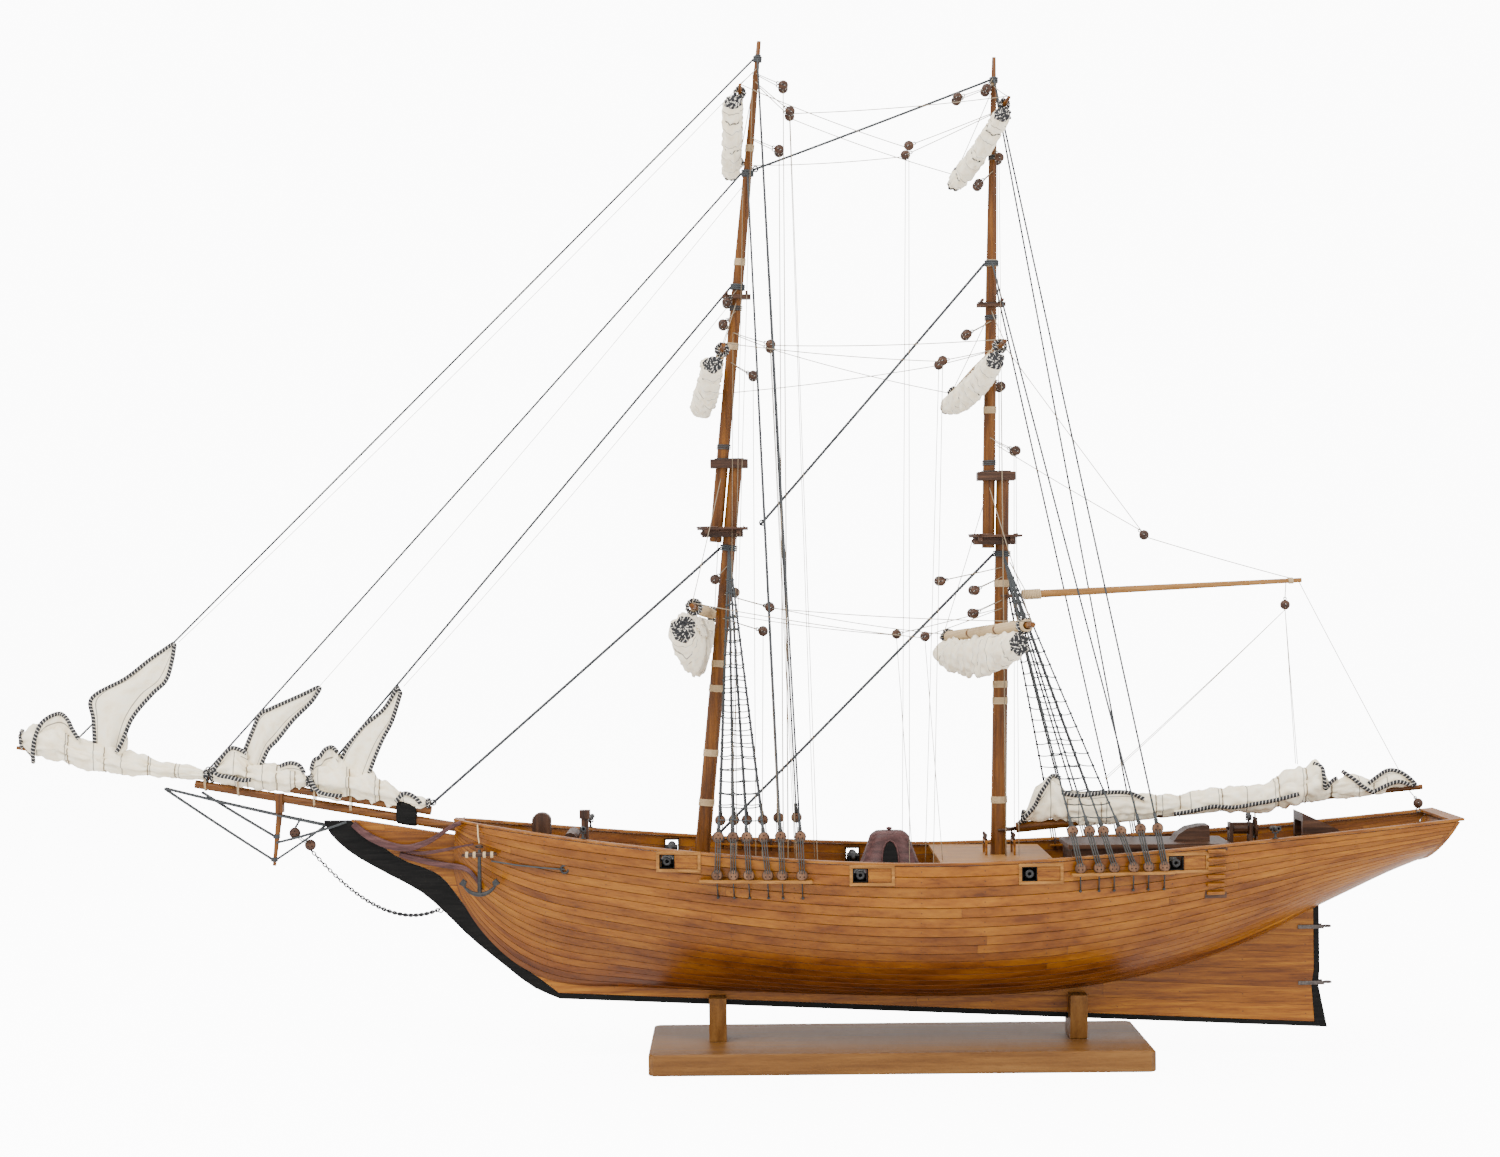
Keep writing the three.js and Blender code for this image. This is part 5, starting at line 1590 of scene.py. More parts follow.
def lower_eye(mast, x, side):
    """The centre of a lower deadeye."""
    return V(x, side * (breadth(x) + EYE_OUT), CHANNELS[mast]["z"] + EYE_RISE + DEADEYE)


def leg_ends(mast, part, z, k, side):
    """The foot at the channel, the upper deadeye's centre and the masthead end of one leg."""
    channel = CHANNELS[mast]
    x = channel["eyes"][k]
    foot = V(x, side * (breadth(x) + EYE_OUT), channel["z"] + 1 + 2 * DEADEYE + GAP)
    head = mast_point(mast, part, z) + V(0, side * (mast_radius(mast, part, z) + GAP + HEAD_ROOM), 0)
    upper = foot + (head - foot).normalized() * (EYE_SPAN - 2 * DEADEYE)
    return foot, upper, head


def sagging(a, b, steps, sag):
    return [mix(a, b, i / steps) - V(0, 0, sag * 4 * (i / steps) * (1 - i / steps)) for i in range(steps + 1)]


def channel_board(mast, side):
    channel = CHANNELS[mast]
    z, tag = channel["z"], SIDES[side]
    outline = []
    for out, order in ((0.4, range(13)), (5.8, range(12, -1, -1))):
        for i in order:
            x = channel["from"] + (channel["to"] - channel["from"]) * i / 12
            outline.append((x, side * (breadth(x) + out)))
    board = Skin()
    board.prism(outline if side > 0 else outline[::-1], z - 0.9, z + 0.9, "z")
    piece(
        f"{mast}_channel_board_{tag}", board, "lip", replaces=[f"{mast}_channel_{tag}"], bevel=0.3,
        smooth=False,
    )
    discs, hole_shade, irons = Skin(), Skin(), Skin()
    for x in channel["eyes"]:
        centre = lower_eye(mast, x, side)
        deadeye(discs, centre, hole_shade)
        irons.ring(centre, (0, 1, 0), DEADEYE - 0.15, 0.38, 6, 20)
        low = V(x + 0.4, hull_y(x, z - 10, side) + side * 0.5, z - 10)
        bend = V(x, centre.y, z - 1.2)
        irons.tube([centre - V(0, 0, DEADEYE), bend, mix(bend, low, 0.5), low], 0.42, 6)
        irons.lathe(low, (0, side, 0), [(-0.6, 0.5), (0.3, 0.9), (0.7, 0.8), (0.9, 0.1)], 10)
    piece(f"{mast}_deadeyes_lower_{tag}", discs, "deadeye")
    # black plugs in the deadeyes' holes: painted shade
    piece(f"{mast}_deadeye_holes_lower_{tag}", hole_shade, "black")
    piece(f"{mast}_chain_plates_{tag}", irons, "iron")


def standing(name, mast, part, z, legs, foot, r, stay_r):
    """An eye over the masthead with its stay forward and its legs to the channels."""
    ropes, discs, hole_shade, lanyards = Skin(), Skin(), Skin(), Skin()
    for k in range(3):
        ropes.ring(
            mast_point(mast, part, z - 1.2 + 1.2 * k), mast_along(mast), mast_radius(mast, part, z) + 0.75,
            0.62, 6, 20,
        )
    head = mast_point(mast, part, z) - V(mast_radius(mast, part, z) + GAP + HEAD_ROOM, 0, 0)
    end = V(foot[0], 0, foot[1] or jib_boom_top(foot[0]) + GAP)
    ropes.tube(sagging(head, end, 24, 0.35), stay_r, 8)
    ropes.ring(end + (head - end).normalized() * 1.5, (0, 1, 0), 1.6, 0.45, 6, 14)
    for k in legs:
        for side in SIDES:
            _, upper, top = leg_ends(mast, part, z, k, side)
            along = (top - upper).normalized()
            ropes.tube(sagging(upper + along * 2.6, top, 20, 0.3), r, 7)
            ropes.tube([upper + along * 2.9, upper + along * 9], r * 1.7, 7)
            ropes.ring(upper, (0, 1, 0), DEADEYE - 0.1, r * 0.85, 6, 20)
            deadeye(discs, upper, hole_shade)
            lower = lower_eye(mast, CHANNELS[mast]["eyes"][k], side)
            for step in (-1.35, 0.0, 1.35):
                a = upper + V(step, 0.0, -1.0)
                b = lower + V(step, 0.0, 1.3)
                lanyards.tube([a + V(0, side * 1.5, 0), b + V(0, side * 1.5, 0)], 0.33, 5)
                lanyards.tube([a - V(0, side * 1.5, 0), b - V(0, side * 1.5, 0)], 0.33, 5)
            for turn in range(3):
                lanyards.ring(upper + along * (3.6 + 0.8 * turn), along, r + 0.5, 0.34, 5, 10)
    piece(f"{name}_ropes", ropes, "shroud", replaces=[f"{name}_rigging"])
    if discs.points:
        piece(f"{name}_deadeyes", discs, "deadeye")
        # black plugs in the deadeyes' holes: painted shade
        piece(f"{name}_deadeye_holes", hole_shade, "black")
        piece(f"{name}_lanyards", lanyards, "lanyard")


RUNG_LOW, RUNG_HIGH, RUNG_STEP = 150.0, 296, 7.4


def ratlines(mast, side):
    """Rungs knotted across the four shrouds of one side."""
    tag = SIDES[side]
    ends = [leg_ends(mast, "lower", LEGS[f"{mast}_lower"][2], k, side)[1:] for k in range(4)]
    lines, knots = Skin(), Skin()
    z, row = RUNG_LOW, 0
    while z < RUNG_HIGH:
        places = [
            mix(low, top, (z + 0.5 * math.sin(k * 2.1 + row) - low.z) / (top.z - low.z))
            for k, (low, top) in enumerate(ends)
        ]
        out = V(0, side * 0.5, 0)
        for a, b in zip(places, places[1:]):
            lines.tube(sagging(a + out, b + out, 6, 0.35 + 0.2 * math.sin(row * 1.7)), 0.42, 5)
        for p in places:
            knots.lathe(
                p + V(0, side * 0.2, -0.8), (0, 0, 1),
                [(0, 0.4), (0.4, 0.85), (0.8, 0.95), (1.2, 0.85), (1.6, 0.4)], 8,
            )
        z += RUNG_STEP
        row += 1
    piece(f"{mast}_ratlines_{tag}", lines, "shroud")
    piece(f"{mast}_ratline_knots_{tag}", knots, "shroud")


for mast in ("fore", "main"):
    for side in SIDES:
        channel_board(mast, side)
        ratlines(mast, side)
for name, facts in LEGS.items():
    standing(name, *facts)


# ---------------------------------------------------------------- bow: anchors, head rails, chain, martingale


def bow_anchor(side):
    tag = SIDES[side]
    x, y, top = -250.0, side * 23.5, 133.0
    iron, stock, ties = Skin(), Skin(), Skin()
    iron.lathe(V(x, y, top - 2), (0, 0, -1), [(0, 0.5), (0.6, 1.0), (26, 1.35), (27, 0.6)], 10)
    iron.ring(V(x, y, top - 0.4), (0, 0.4, 1), 2.1, 0.42, 6, 18)
    arms = []
    for i in range(15):
        a = -1.05 + 2.1 * i / 14
        arms.append(V(x + 11 * math.sin(a), y, top - 18 - 11 * math.cos(a)))
    iron.tube(arms, [0.7 + 0.75 * math.sin(math.pi * i / 14) for i in range(15)], 8)
    for way in (-1, 1):
        outline = [(8.6, -24.6), (12.3, -22.6), (9.9, -19.4), (7.6, -21.4)]
        flat = [(x + way * a, top + b) for a, b in outline]
        iron.prism(flat if way > 0 else flat[::-1], y - 1.5, y + 1.5, "y")
    stock.tube(
        [V(x - 10.5 + 3 * i, y, top - 5.5 + 0.12 * i) for i in range(8)],
        [0.9, 1.15, 1.4, 1.6, 1.6, 1.4, 1.15, 0.9], 8,
    )
    for dx in (-7.5, -3, 3, 7.5):
        for t in range(3):
            ties.ring(V(x + dx + 0.55 * t - 0.5, y, top - 5.2), (1, 0, 0), 1.65, 0.32, 5, 14)
    piece(f"anchor_iron_{tag}", iron, "iron", replaces=[f"anchor_{tag}"], bevel=0.12)
    piece(f"anchor_stock_{tag}", stock, "walnut")
    ties.tube(
        [V(x, y, top + 1.6), V(x - 1, side * 20, 139), V(x - 1.5, side * 17.5, rail_height(x) - 0.4)], 0.45,
        6,
    )
    piece(f"anchor_lashings_{tag}", ties, "lashing")


def moulding(name, points, tall, thick):
    """A curved rail of flat section through points of (x, y, z), with a bead along its edge."""
    path = curve_through([Vector(p) for p in points])
    rows = []
    for i, p in enumerate(path):
        ahead = (path[min(i + 1, len(path) - 1)] - path[max(i - 1, 0)]).normalized()
        out = V(0, 1 if p.y > 0 else -1, 0)
        up = out.cross(ahead).normalized()
        if up.z < 0:
            up = -up
        h = tall * (0.55 + 0.45 * math.sin(math.pi * min(1, i / len(path) + 0.22)))
        ring = [
            (-0.5, -0.5), (0.2, -0.5), (0.5, -0.3), (0.3, -0.1), (0.3, 0.1), (0.5, 0.3), (0.2, 0.5),
            (-0.5, 0.5),
        ]
        row = [p + out * a * thick + up * b * h for a, b in ring]
        rows.append(row if p.y < 0 else row[::-1])
    skin = Skin()
    skin.grid(rows, lambda i, j: (i * 2.0, j * 1.0), closed=True, caps=True)
    piece(name, skin, "plum")


# The head rails: points on the starboard side, then height and thickness.
HEAD_RAILS = {
    "upper": (
        [
            (-328, 4.4, 145.4), (-321, 5.2, 139.5), (-313, 6.2, 135), (-303, 7.0, 131.6),
            (-294.3, 7.8, 130.8), (-285, 8.8, 133.4), (-276.6, 9.8, 137.7), (-269, 11.4, 143),
            (-262, 14.2, 146.2),
        ],
        4.6, 2.4,
    ),
    "lower": (
        [
            (-300, 4.2, 126.6), (-287.7, 4.8, 123.2), (-273, 5.6, 120), (-259.8, 9.5, 118.1),
            (-252.6, 12.6, 111.4), (-250.3, 13.2, 105.3),
        ],
        3.8, 2.2,
    ),
    "middle": (
        [(-296, 5.6, 128.5), (-286, 7.2, 127.5), (-275, 9.2, 129), (-264, 12.5, 131.5), (-254, 17.2, 133.5)],
        2.2, 1.5,
    ),
}


def head_rails(side):
    tag = SIDES[side]
    for name, (points, tall, thick) in HEAD_RAILS.items():
        moulding(f"head_rail_{name}_{tag}", [(x, side * y, z) for x, y, z in points], tall, thick)


def bobstay_chain():
    ends = [V(-354.9, 0, 130), V(-277.2, 0, 92.5)]
    path = []
    for i in range(49):
        t = i / 48
        path.append(mix(*ends, t) - V(0, 0, 15.5 * 4 * t * (1 - t) * (0.85 + 0.3 * t)))
    links = Skin()
    for i in range(48):
        a, b = path[i], path[i + 1]
        along = (b - a).normalized()
        normal = V(0, 1, 0) if i % 2 else along.cross(V(0, 1, 0))
        links.ring((a + b) / 2, normal, 0.85, 0.46, 6, 10, stretch=1.7, up=along)
    links.ring(ends[1] + V(1.2, 0, -0.5), (0, 1, 0), 1.3, 0.4, 6, 12)
    piece("bobstay_chain", links, "chain")


def martingale():
    lines, discs, hole_shade = Skin(), Skin(), Skin()
    tip = V(-376.4, 0, 123)
    for side in SIDES:
        y = side * 2.2
        lines.tube(sagging(V(-442.4, y * 0.6, 167.2), tip + V(0, y * 0.4, 0), 12, 0.4), 0.75, 6)
        lines.tube(sagging(tip + V(0, y * 0.4, 0), V(-345.7, side * 3.6, 143.8), 8, 0.3), 0.75, 6)
        lines.tube(sagging(V(-420, y * 0.6, 165), V(-375.4, y * 0.6, 137.4), 10, 0.3), 0.75, 6)
        lines.tube(sagging(V(-375.0, y * 0.6, 134), V(-332, side * 4.2, 146.5), 10, 0.8), 0.75, 6)
        lines.tube(sagging(V(-442.4, y, 167.6), V(-345, side * 4.6, 144.4), 14, 0.6), 0.65, 6)
    for x, z in ((-363.9, 139.7), (-354.6, 132.4)):
        deadeye(discs, V(x, 0, z), hole_shade)
        lines.ring(V(x, 0, z), (0, 1, 0), DEADEYE, 0.4, 6, 18)
    lines.tube([V(-363.9, 0, 142.5), V(-360, 0, 149)], 0.75, 6)
    lines.tube([V(-361.6, 0.4, 137.6), V(-356.8, 0.4, 134.4)], 0.4, 6)
    lines.tube([V(-362.4, -0.8, 137.0), V(-357.4, -0.8, 133.6)], 0.4, 6)
    for z in (123, 137):
        p = V(-375.0 - (z - 137) * -0.106, 0, z)
        for t in range(3):
            lines.ring(p + V(0, 0, 0.8 * t), (0, 0, 1), 1.9, 0.42, 5, 14)
    piece("martingale_lines", lines, "shroud")
    piece("martingale_deadeyes", discs, "walnut")
    # black plugs in the deadeyes' holes: painted shade
    piece("martingale_deadeye_holes", hole_shade, "black")


for side in SIDES:
    bow_anchor(side)
    head_rails(side)
bobstay_chain()
martingale()


def gudgeons():
    """Two dark straps on the sternpost, each with its eye aft."""
    skin = Skin()
    for z in (77.7, 43.8):
        for side in SIDES:
            y0, y1 = sorted((side * (KEEL_HALF + 0.05), side * (KEEL_HALF + 0.8)))
            skin.box((242.6, y0, z - 1.2), (258.5, y1, z + 1.2))
        skin.ring(V(261.0, 0, z), (0, 0, 1), 1.9, 0.8, 6, 16)
    piece("gudgeons", skin, "steel", bevel=0.2, smooth=False)


gudgeons()


def striker_head():
    """Two cheeks that clasp the bowsprit, above the dolphin striker."""
    skin = Skin()
    top = along_spar(SPRIT, -373)
    for side in SIDES:
        y0, y1 = sorted((side * 2.9, side * 4.1))
        skin.box((-375.2, y0, top.z - 9.0), (-370.6, y1, top.z + 2.6))
    skin.box((-375.0, -2.9, top.z - 9.0), (-370.8, 2.9, top.z - 4.0))
    piece("striker_head", skin, "spar_z", bevel=0.4, smooth=False)


striker_head()


def hawse(side):
    tag = SIDES[side]
    iron, ropes = Skin(), Skin()
    x, z = -198.3, 119.8
    y = hull_y(x, z, side)
    iron.ring(V(x, y + side * 0.3, z), (0, 1, 0), 2.2, 0.7, 6, 18)
    ropes.tube(
        [
            V(x, y + side * 0.9, z), V(-212, hull_y(-212, 120.4, side) + side * 1.0, 120.4),
            V(-228, hull_y(-228, 121.5, side) + side * 1.0, 121.5), V(-243, side * 23.6, 124),
        ],
        0.5, 6,
    )
    piece(f"hawse_ring_{tag}", iron, "iron")
    piece(f"hawse_rope_{tag}", ropes, "shroud")


# ---------------------------------------------------------------- fittings on deck


def swivel_gun(name, x, side):
    """A small gun in a yoke on the rail."""
    skin = Skin()
    z = rail_height(x)
    y = side * (breadth(x) - 1.6)
    skin.lathe(
        V(x, y, z - 0.2), (0, 0, 1), [(0, 1.7), (0.7, 1.7), (1.0, 0.7), (3.2, 0.7), (3.6, 1.1), (4.2, 0.6)],
        12,
    )
    for dx in (-1.9, 1.3):
        skin.box((x + dx, y - 0.6, z + 3.4), (x + dx + 0.6, y + 0.6, z + 7.0))
    skin.box((x - 1.9, y - 0.6, z + 3.2), (x + 1.9, y + 0.6, z + 4.0))
    profile = [
        (-9, 0.1), (-9, 0.7), (-8, 1.0), (-7.6, 0.5), (-6.8, 0.5), (-6.4, 1.7), (-2, 1.6), (-1.6, 1.9),
        (-1.2, 1.5), (5.4, 1.2), (6.0, 1.6), (6.8, 1.6), (6.8, 0.8), (3, 0.8), (3, 0.1),
    ]
    skin.lathe(V(x, y, z + 6.0), (0.12, side, 0.08), profile, 14)
    piece(name, skin, "iron", bevel=0.1)


for x, label in ((-187, "fore"), (222, "aft")):
    swivel_gun(f"swivel_gun_{label}_port", x, -1)
    swivel_gun(f"swivel_gun_{label}_starboard", x, 1)
for side in SIDES:
    hawse(side)


def rounded_section(cx, cy, hx, hy, z, n=28, power=3.0):
    return [V(cx + hx * a, cy + hy * b, z) for a, b in unit_round(n, power)]


def hood_width(t):
    """The hood's width at share t of its height, as a share of its foot: flared below, rounded at the top."""
    shoulder = 1 - 0.28 * (max(0, t - 0.88) / 0.12) ** 2
    return (0.5 + 0.5 * (1 - t) ** 1.25) * shoulder


def galley():
    """The bell-shaped hood: it flares at its foot, rounds over at the top and has an arch on each side."""
    low, high = (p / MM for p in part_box("galley_hood"))
    cx, hx, hy, tall = (low.x + high.x) / 2, (high.x - low.x) / 2, (high.y - low.y) / 2, high.z - low.z
    rows = []
    for i in range(33):
        t = i / 32
        rows.append(rounded_section(cx, 0, hx * hood_width(t), hy * hood_width(t), low.z + tall * t, 40, 2.7))
    skin = Skin()
    skin.grid(rows, lambda i, j: (j, i), closed=True, caps=True)
    skin.lathe(
        V(cx, 0, high.z - 0.2), (0, 0, 1),
        [(0, 1.0), (0.6, 0.8), (1.0, 1.7), (1.6, 2.0), (2.2, 1.5), (2.5, 0.3)], 14,
    )
    hood = piece("galley_bell_hood", skin, "plum", replaces=["galley_hood"])
    smooth_by_angle(hood, 40)
    arch, rim = Skin(), Skin()
    outline = [
        (-5.2, 6), (5.2, 6), (4.9, 16), (4.0, 20.5), (2.2, 23.6), (0, 24.8), (-2.2, 23.6), (-4.0, 20.5),
        (-4.9, 16),
    ]
    for side in SIDES:
        points = [V(cx + a, side * (hy * hood_width(b / tall) + 0.25), low.z + b) for a, b in outline]
        inner = [p - V(0, side * 1.2, 0) for p in points]
        arch.grid([points, inner] if side < 0 else [inner, points], closed=True, caps=True)
        rim.tube([points[1], *points[2:], points[0]], 0.6, 6)
    piece("galley_arches", arch, "black", smooth=False)
    piece("galley_arch_rims", rim, "plum")


galley()


def deck_fittings():
    """A round-topped cap on the foredeck, and a flat hatch aft."""
    cap = Skin()
    arc = [
        (-220 + 11.4 * (0.5 - 0.5 * math.cos(math.pi * k / 12)), 146.2 + 4.6 * math.sin(math.pi * k / 12))
        for k in range(13)
    ]
    cap.prism([(-208.6, 131.5), *arc[::-1], (-220, 131.5)], -4.5, 4.5, "y")
    piece("foredeck_cap", cap, "walnut_z", bevel=0.4, smooth=False)
    hatch = Skin()
    low = deck_height(239)
    hatch.box((228, -13, low + 0.2), (250, 13, low + 3.4))
    hatch.box((226.8, -14.2, low + 3.4), (251.2, 14.2, low + 4.6))
    piece("aft_hatch", hatch, "trim", bevel=0.4, smooth=False)


deck_fittings()


PIN_PROFILE = [
    (0, 0.3), (0.3, 0.55), (3.4, 0.6), (3.8, 1.0), (4.6, 0.55), (6.4, 0.95), (7.2, 0.6), (7.5, 0.1),
]


def belaying_pins():
    """Pin rails inside the bulwarks and round the masts, with their turned pins."""
    rails, pins = Skin(), Skin()

    def pin(x, y, z):
        pins.lathe(V(x, y, z - 3.4), (0, 0, 1), PIN_PROFILE, 8)

    for side in SIDES:
        for x0, x1 in ((-108, -60), (100, 152)):
            rows = []
            for i in range(9):
                x = x0 + (x1 - x0) * i / 8
                y = breadth(x) - PLANK - 1.2
                z = rail_height(x) - 5.2
                rows.append([
                    V(x, side * y, z), V(x, side * (y - 2.8), z), V(x, side * (y - 2.8), z + 1.2),
                    V(x, side * y, z + 1.2),
                ])
            rails.grid(
                rows if side < 0 else [r[::-1] for r in rows], lambda i, j: (i * 5, j), closed=True,
                caps=True,
            )
            for i in range(8):
                x = x0 + (x1 - x0) * (i + 0.5) / 8
                pin(x, side * (breadth(x) - PLANK - 2.6), rail_height(x) - 4)
    for mast in ("fore", "main"):
        p = mast_point(mast, "lower", 136)
        floor = deck_height(p.x) if mast == "fore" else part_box("bridge_deck")[1].z / MM
        for dx, dy, wide, deep in ((-9, -10, 1.4, 20), (8, -10, 1.4, 20)):
            rails.box((p.x + dx, dy, floor + 7.5), (p.x + dx + wide, dy + deep, floor + 9))
            for k in range(5):
                pin(p.x + dx + 0.7, -8 + 4 * k, floor + 9)
        for dx in (-9, 8):
            for dy in (-10, 8.6):
                rails.box((p.x + dx, dy, floor + 0.1), (p.x + dx + 1.4, dy + 1.4, floor + 7.5))
    piece("pin_rails", rails, "trim", bevel=0.2, smooth=False)
    piece("belaying_pins", pins, "walnut_z")


belaying_pins()

# ---------------------------------------------------------------- running rigging


def pulley(shells, strops, place, hang=(0, 0, 1), size=3.1):
    """A small block: a rounded shell with its strop in a groove, hung by the strop."""
    hang = Vector(hang).normalized()
    across = V(0, 1, 0) if abs(hang.y) < 0.8 else V(1, 0, 0)
    profile = []
    for k in range(13):
        a = -math.pi / 2 + math.pi * k / 12
        dip = 0.22 * math.exp(-((k - 6) / 0.8) ** 2)
        profile.append((size * 0.72 * math.sin(a), max(0.05, size * (0.96 * math.cos(a) ** 0.7 - dip))))
    shells.lathe(place, across, profile, 18)
    strops.ring(place, across, size * 0.86, 0.42, 6, 20)
    strops.ring(place, hang.cross(across), size * 0.70, 0.3, 5, 18, stretch=1.22, up=hang)
    strops.ring(place + hang * (size + 0.7), across, 0.8, 0.32, 5, 10)


def thread_tube(skin, a, b, sag=0.6, r=0.32, steps=16):
    skin.tube(sagging(Vector(a), Vector(b), steps, sag), r, 5)


def arm_tip(yard, side, share=0.95):
    centre, along, _, up, half = yard_axes(yard)
    return centre + along * side * half * share + up * 2.0


def crossing_thread(name, fixed, moving, sag=0.8, r=0.30):
    """A thread from the ship to a part that swings, drawn where both stand now and parented to neither."""
    skin = Skin()
    thread_tube(skin, fixed, moving, sag, r, 30)
    obj = piece(name, skin, "thread", None)
    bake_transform(obj)


def line_share(a, b, x):
    t = (x - a.x) / (b.x - a.x)
    return mix(a, b, t)


# Each yard's lifts go up to its own mast, and its braces to blocks on the other mast's pendants.
# lift is a height on the mast. brace is the block's x and z, and the part and height it hangs from.
# fall is the x and y of its foot, and clear moves the starboard block and fall forward.
YARD_GEAR = {
    "fore_course": {
        "mast": "fore", "part": "top", "lift": 352, "brace": (17, 256, "lower", 272), "fall": (26, 36),
        "clear": 13,
    },
    "fore_topsail": {
        "mast": "fore", "part": "top", "lift": 458, "brace": (30, 421, "top", 428), "fall": (20, 38),
    },
    "fore_topgallant": {
        "mast": "fore", "part": "top", "lift": 600, "brace": (10.9, 550, "top", 572), "fall": (6, 40),
    },
    "main_course": {
        "mast": "main", "part": "top", "lift": 345, "brace": (-75, 274, "lower", 282), "fall": (-70, 48),
    },
    "main_topsail": {
        "mast": "main", "part": "top", "lift": 452, "brace": (-73, 432, "top", 440), "fall": (-60, 46),
    },
    "main_topgallant": {
        "mast": "main", "part": "top", "lift": 588, "brace": (-60, 573, "top", 592), "fall": (-48, 46),
    },
}


# Small blocks on pendants from the masts: x and z, and the mast they hang from.
BLOCKS = [
    (41.4, 580.8, "main", "top"), (59, 586, "main", "top"), (66, 544.3, "main", "top"),
    (53.7, 528.6, "main", "top"), (-66.7, 550.3, "fore", "top"), (-63.9, 589.1, "fore", "top"),
    (-99.1, 458.5, "fore", "top"), (-101.6, 445.2, "fore", "top"), (-83.7, 414.1, "fore", "top"),
    (45.6, 437.8, "main", "top"), (65.9, 406.1, "main", "top"), (74.6, 367.2, "main", "top"),
    (-107.9, 291, "fore", "lower"), (-95.9, 283, "fore", "lower"), (-79.1, 259.5, "fore", "lower"),
    (28.4, 288.8, "main", "lower"), (49, 283, "main", "lower"), (48.2, 269, "main", "lower"),
]
# Halyards of the headsails: x and z of the peak, and the height at the mast.
HEAD_HALYARDS = ((-433, 256, 598), (-348, 228.5, 529), (-297, 228, 460))


def standing_height(x):
    """The top of the deck, or of the raised deck amidships, where a line is made fast."""
    low, high = (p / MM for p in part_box("bridge_deck"))
    return high.z if low.x < x < high.x else deck_height(x)


def running_rigging():
    shells, strops, lines = Skin(), Skin(), Skin()
    for yard, gear in YARD_GEAR.items():
        other = "main" if gear["mast"] == "fore" else "fore"
        for side in SIDES:
            tag = SIDES[side]
            arm = arm_tip(yard, side)
            mast = mast_point(gear["mast"], gear["part"], gear["lift"])
            radius = mast_radius(gear["mast"], gear["part"], gear["lift"])
            crossing_thread(f"{yard}_lift_{tag}", mast + V(0, side * (radius + 0.5), 0), arm, 0.4)
            clear = gear.get("clear", 0) if side > 0 else 0
            x, z, part, at = gear["brace"]
            end = mast_point(other, part, at)
            end = end + V(0, side * (mast_radius(other, part, at) + 0.5), 0)
            block = line_share(end, arm, x - clear)
            block.z = z
            toward = (end - block).normalized()
            pulley(shells, strops, block, toward)
            thread_tube(lines, end, block + toward * 4, 0.2)
            crossing_thread(f"{yard}_brace_{tag}", block - toward * 2.5, arm, 1.6)
            x, y = gear["fall"]
            foot = V(x - clear, side * y, standing_height(x - clear))
            thread_tube(lines, block - V(0, 0, 3), foot, 0.5, 0.24, 24)
    for x, z, mast, part in BLOCKS:
        for side in SIDES:
            mast_place = mast_point(mast, part, z + 8)
            y = side * (6.2 if part == "top" else 8.4)
            block = V(x, y, z)
            fixed = mast_place + V(0, side * mast_radius(mast, part, z), 0)
            toward = (fixed - block).normalized()
            pulley(shells, strops, block, toward)
            thread_tube(lines, fixed, block + toward * 4, 0.1, 0.3)
            if x > mast_place.x + 2:
                foot = mix(mast_place.x, x, 0.92)
                thread_tube(
                    lines, block - V(0, 0, 3), V(foot, side * 15, standing_height(foot)), 0.4, 0.22, 24,
                )
    # halyards of the headsails, beside their stays
    for x, z, mast_z in HEAD_HALYARDS:
        top = mast_point("fore", "top", mast_z) + V(-2.0, -2.2, 0)
        thread_tube(lines, V(x, -1.6, z), top, 3.5, 0.22, 30)
        thread_tube(lines, top, V(-100, -22, standing_height(-100)), 0.8, 0.22, 24)
    # tackle of the boom at the taffrail
    taffrail = V(316.9, 0, 151.5)
    pulley(shells, strops, taffrail, (-0.5, 0, 1))
    strops.ring(taffrail - V(0, 0, 4.0), (0, 1, 0), 1.3, 0.4, 6, 14)
    piece("block_shells", shells, "walnut")
    piece("block_strops", strops, "edge")
    piece("running_lines", lines, "thread")


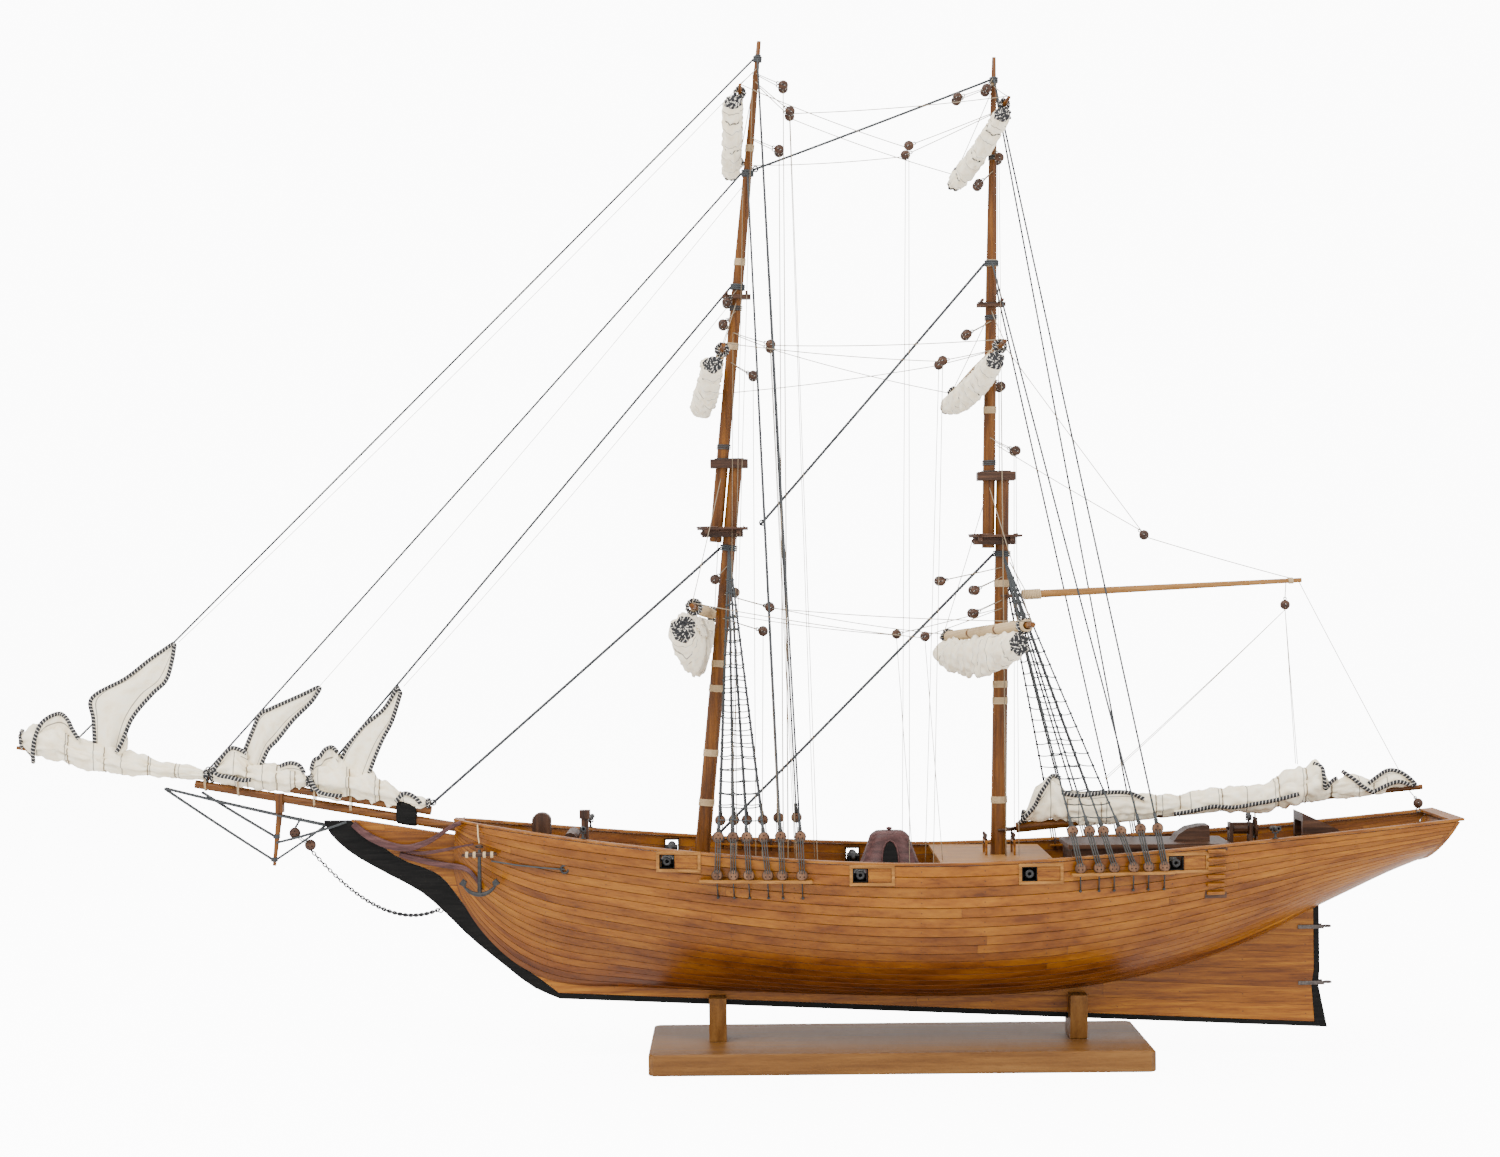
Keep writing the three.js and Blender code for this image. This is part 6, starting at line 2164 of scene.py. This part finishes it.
def gaff_rigging():
    shells, strops, lines = Skin(), Skin(), Skin()
    bridle, peak = V(152.3, 0, 315.6), along_spar(GAFF, 240.5) + V(0, 0, 1.6)
    vang = V(237.4, 0, 272.5)
    pulley(shells, strops, bridle, (-1, 0, 1))
    pulley(shells, strops, vang, (0, 0, 1))
    thread_tube(lines, bridle + V(2, 0, -1.5), peak, 0.5, 0.3)
    thread_tube(lines, along_spar(GAFF, 238) - V(0, 0, 1.4), vang + V(0, 0, 4), 0.1, 0.3)
    for side in SIDES:
        thread_tube(lines, vang - V(0, 0, 3), V(127.4, side * 4, 168), 0.8, 0.24, 24)
        thread_tube(lines, vang - V(0, 0, 3), V(243.5, side * 3, 176), 0.3, 0.24, 20)
    thread_tube(lines, along_spar(GAFF, 245) + V(0, 0, 1), V(309, 0, 165), 0.6, 0.26, 24)
    piece("gaff_block_shells", shells, "walnut", "spanker")
    piece("gaff_block_strops", strops, "edge", "spanker")
    piece("gaff_lines", lines, "thread", "spanker")
    for k, z in enumerate((437, 371)):
        top = mast_point("main", "top", z) + V(mast_radius("main", "top", z) + 0.4, 0, 0)
        crossing_thread(f"peak_halyard_{k + 1}", top, bridle + V(-1.5, 0, 2.5), 0.5)
    top = mast_point("main", "lower", 300) + V(mast_radius("main", "lower", 300) + 0.6, 0, 0)
    crossing_thread("throat_halyard", top, along_spar(GAFF, 80) + V(0, 0, 2.6), 0.1, 0.35)
    crossing_thread("boom_tackle", V(315.4, 0, 154.6), V(309.5, 0, 162.0), 0.1, 0.35)


running_rigging()
gaff_rigging()

# ---------------------------------------------------------------- CAD nodes shown as they are

KEPT_NODES = {
    "base_board": "stand", "fore_cradle": "stand_z", "aft_cradle": "stand_z", "keel_frame": "keel",
    "keel_strip": "black", "transom": "trim",
    "main_deck": "deck", "bridge_deck": "deck",
    "cabin_trunk": "walnut", "stern_companion": "walnut", "windlass_bitts": "walnut_z",
    "windlass_barrel": "walnut", "wheel_stand": "walnut_z", "steering_wheel": "walnut",
}
for node, material in KEPT_NODES.items():
    keep_node(node, material)
